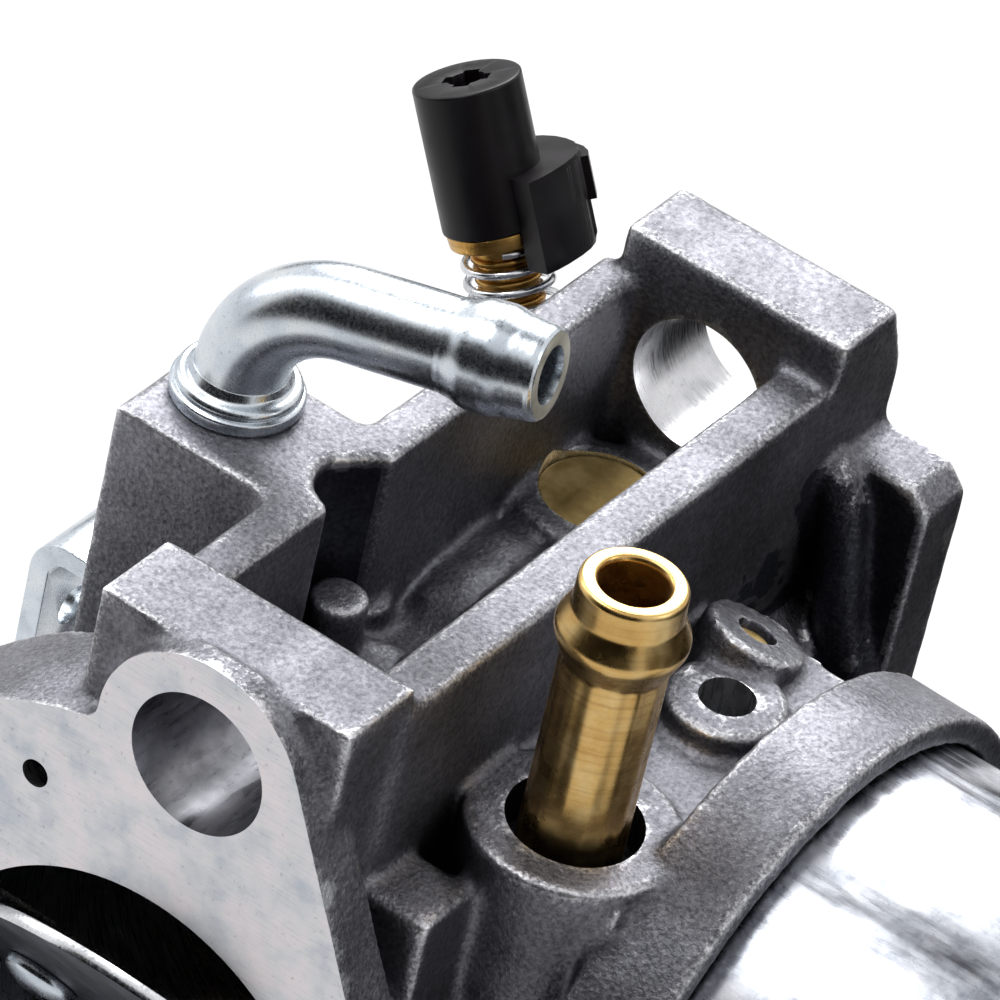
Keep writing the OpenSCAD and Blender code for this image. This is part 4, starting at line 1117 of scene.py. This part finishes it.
rib_tree, given = new_tree("ribs_on_arc", False, Count=12, Arc_Radius=0.002, Sweep=2.6,
                           Height=0.006, Rib_Radius=0.0001)
arc = add_node(rib_tree, "GeometryNodeCurveArc", {
    "Resolution": 48, "Radius": given["Arc Radius"], "Start Angle": -0.75,
    "Sweep Angle": given["Sweep"]})
spots = add_node(rib_tree, "GeometryNodeCurveToPoints",
                 {"Curve": arc.outputs[0], "Count": given["Count"]})
bar = add_node(rib_tree, "GeometryNodeMeshCylinder", {
    "Vertices": 8, "Radius": given["Rib Radius"], "Depth": given["Height"]})
placed = add_node(rib_tree, "GeometryNodeInstanceOnPoints",
                  {"Points": spots.outputs[0], "Instance": bar.outputs[0]})
close_tree(rib_tree, placed.outputs[0], given["Finish"])
tab_place = MIXTURE @ Matrix.Translation((1.0, 0.6, 5.6)) @ Matrix.Rotation(
    math.radians(-62), 4, "Z") @ Matrix.Scale(1 / MM, 4)
ribs = grow("limiter_cap_ribs", rib_tree, tab_place, Count=20, Arc_Radius=5.62 * MM, Sweep=0.86,
            Height=5.3 * MM, Rib_Radius=0.07 * MM, Finish=black_nylon)
hand_over(ribs, "mixture_adjuster", "black_plastic")

# %% [markdown]
# ## Butterfly valves
# Each plate is held on its shaft by two pan head screws. One screw is made, and a tree sets
# it at both places.

# %% Plates, shafts and their screws
screw_tree, given = new_tree("two_screws", True, Spread=0.01)
pair = add_node(screw_tree, "GeometryNodeMeshLine", {
    "Count": 2, "Start Location": add_node(screw_tree, "ShaderNodeCombineXYZ", {
        1: add_node(screw_tree, "ShaderNodeMath", {0: given["Spread"], 1: -1.0},
                    operation="MULTIPLY").outputs[0]}).outputs[0],
    "Offset": add_node(screw_tree, "ShaderNodeCombineXYZ", {
        1: add_node(screw_tree, "ShaderNodeMath", {0: given["Spread"], 1: 2.0},
                    operation="MULTIPLY").outputs[0]}).outputs[0]})
placed = add_node(screw_tree, "GeometryNodeInstanceOnPoints",
                  {"Points": pair.outputs[0], "Instance": given["Path"]})
close_tree(screw_tree, placed.outputs[0], given["Finish"])


def plate_screws(name, node, place, reach, plate_t, spread, body):
    """Two slotted pan head screws along X, at -spread and +spread in Y."""
    one = turned("one_screw", [(0, -reach), (1.2, -reach), (1.2, plate_t / 2),
                               (2.4, plate_t / 2 + 0.02),
                               (2.38, plate_t / 2 + 0.7, 0.5), (1.2, plate_t / 2 + 1.25, 0.5),
                               (0, plate_t / 2 + 1.3)], axis_place((0, 0, 0), (1, 0, 0)),
                               zinc_plate,
                 sides=48)
    cut(one, [slab((plate_t / 2 + 0.75, -3, -0.3), (plate_t / 2 + 2, 3, 0.3))])
    item = grow(name, screw_tree, place, path=one.data, Spread=spread * MM, Finish=zinc_plate)
    bpy.data.objects.remove(one)
    return hand_over(soften(item, 40), body, "zinc_steel", node)


plate_screws("throttle_pan_heads", "throttle_plate_screws",
             Matrix.Translation((THROTTLE_X * MM, 0, 0)),
             2.7, 1.2, 5, "throttle")
choke_place = (Matrix.Translation((CHOKE_X * MM, 0, 0)) @ Matrix.Rotation(math.radians(-37), 4, "Y")
               @ Matrix.Rotation(math.pi, 4, "Z"))
plate_way = (choke_place.to_3x3() @ Vector((1, 0, 0))).normalized()
plate_screws("choke_pan_heads", "choke_plate_screws", choke_place, 2.2, 0.85, 9, "choke")
for name, node, width, finish, body, slot in (
        ("throttle_disc", "throttle_plate", 0.12, brass_sheet, "throttle", "brass"),
        ("throttle_spindle", "throttle_shaft", 0.15, zinc_plate, "throttle", "zinc_steel"),
        ("throttle_arm", "throttle_lever", 0.22, zinc_plate, "throttle", "zinc_steel"),
        ("throttle_stop_lug", "throttle_stop", 0.18, zinc_plate, "throttle", "zinc_steel"),
        ("throttle_flat_washer", "throttle_washer", 0.10, zinc_plate, "throttle", "bright_steel"),
        ("throttle_hex_nut", "throttle_nut", 0.22, zinc_plate, "throttle", "zinc_steel"),
        ("choke_disc", "choke_plate", 0.12, rolled_sheet, "choke", "plate_steel"),
        ("choke_spindle", "choke_shaft", 0.15, zinc_plate, "choke", "zinc_steel"),
        ("choke_arm", "choke_lever", 0.20, zinc_plate, "choke", "zinc_steel"),
        ("throttle_shaft_seal", "throttle_seal", 0.15, nitrile_rubber, "carburetor",
         "black_plastic"),
        ("choke_shaft_seal", "choke_seal", 0.15, nitrile_rubber, "carburetor", "black_plastic"),
        ("bowl_bolt", "bowl_screw", 0.25, zinc_plate, "carburetor", "zinc_steel"),
        ("bowl_bolt_washer", "bowl_screw_washer", 0.12, red_fibre, "carburetor", "fibre_washer"),
        ("drain_bolt", "drain_screw", 0.22, zinc_plate, "carburetor", "zinc_steel"),
        ("drain_bolt_washer", "drain_washer", 0.10, red_fibre, "carburetor", "fibre_washer"),
        ("bowl_seal", "bowl_gasket", 0.12, nitrile_rubber, "carburetor", "gasket_rubber"),
        ("drawn_float_bowl", "float_bowl", 0.15, drawn_bowl, "carburetor", "bowl_metal")):
    item = bevelled(name, node, width, finish)
    if node == "choke_plate":
        item.data.materials.append(spring_wire)
        for face in item.data.polygons:
            face.material_index = int(abs(face.normal @ plate_way) < 0.6)
    hand_over(item, body, slot, node)

# %% [markdown]
# ## Inside the float chamber
# The float, its pin, the needle and the jets are hidden by the bowl, so their CAD shapes
# stay and only take their finishes.

# %% Hidden parts
for node, finish in (("float", float_foam), ("float_pin", spring_wire),
                     ("float_needle", nitrile_rubber),
                     ("needle_seat", brass_tube), ("main_nozzle", brass_tube),
                     ("main_jet", brass_tube), ("pilot_jet", brass_tube)):
    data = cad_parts[node].data
    data.materials.clear()
    data.materials.append(finish)
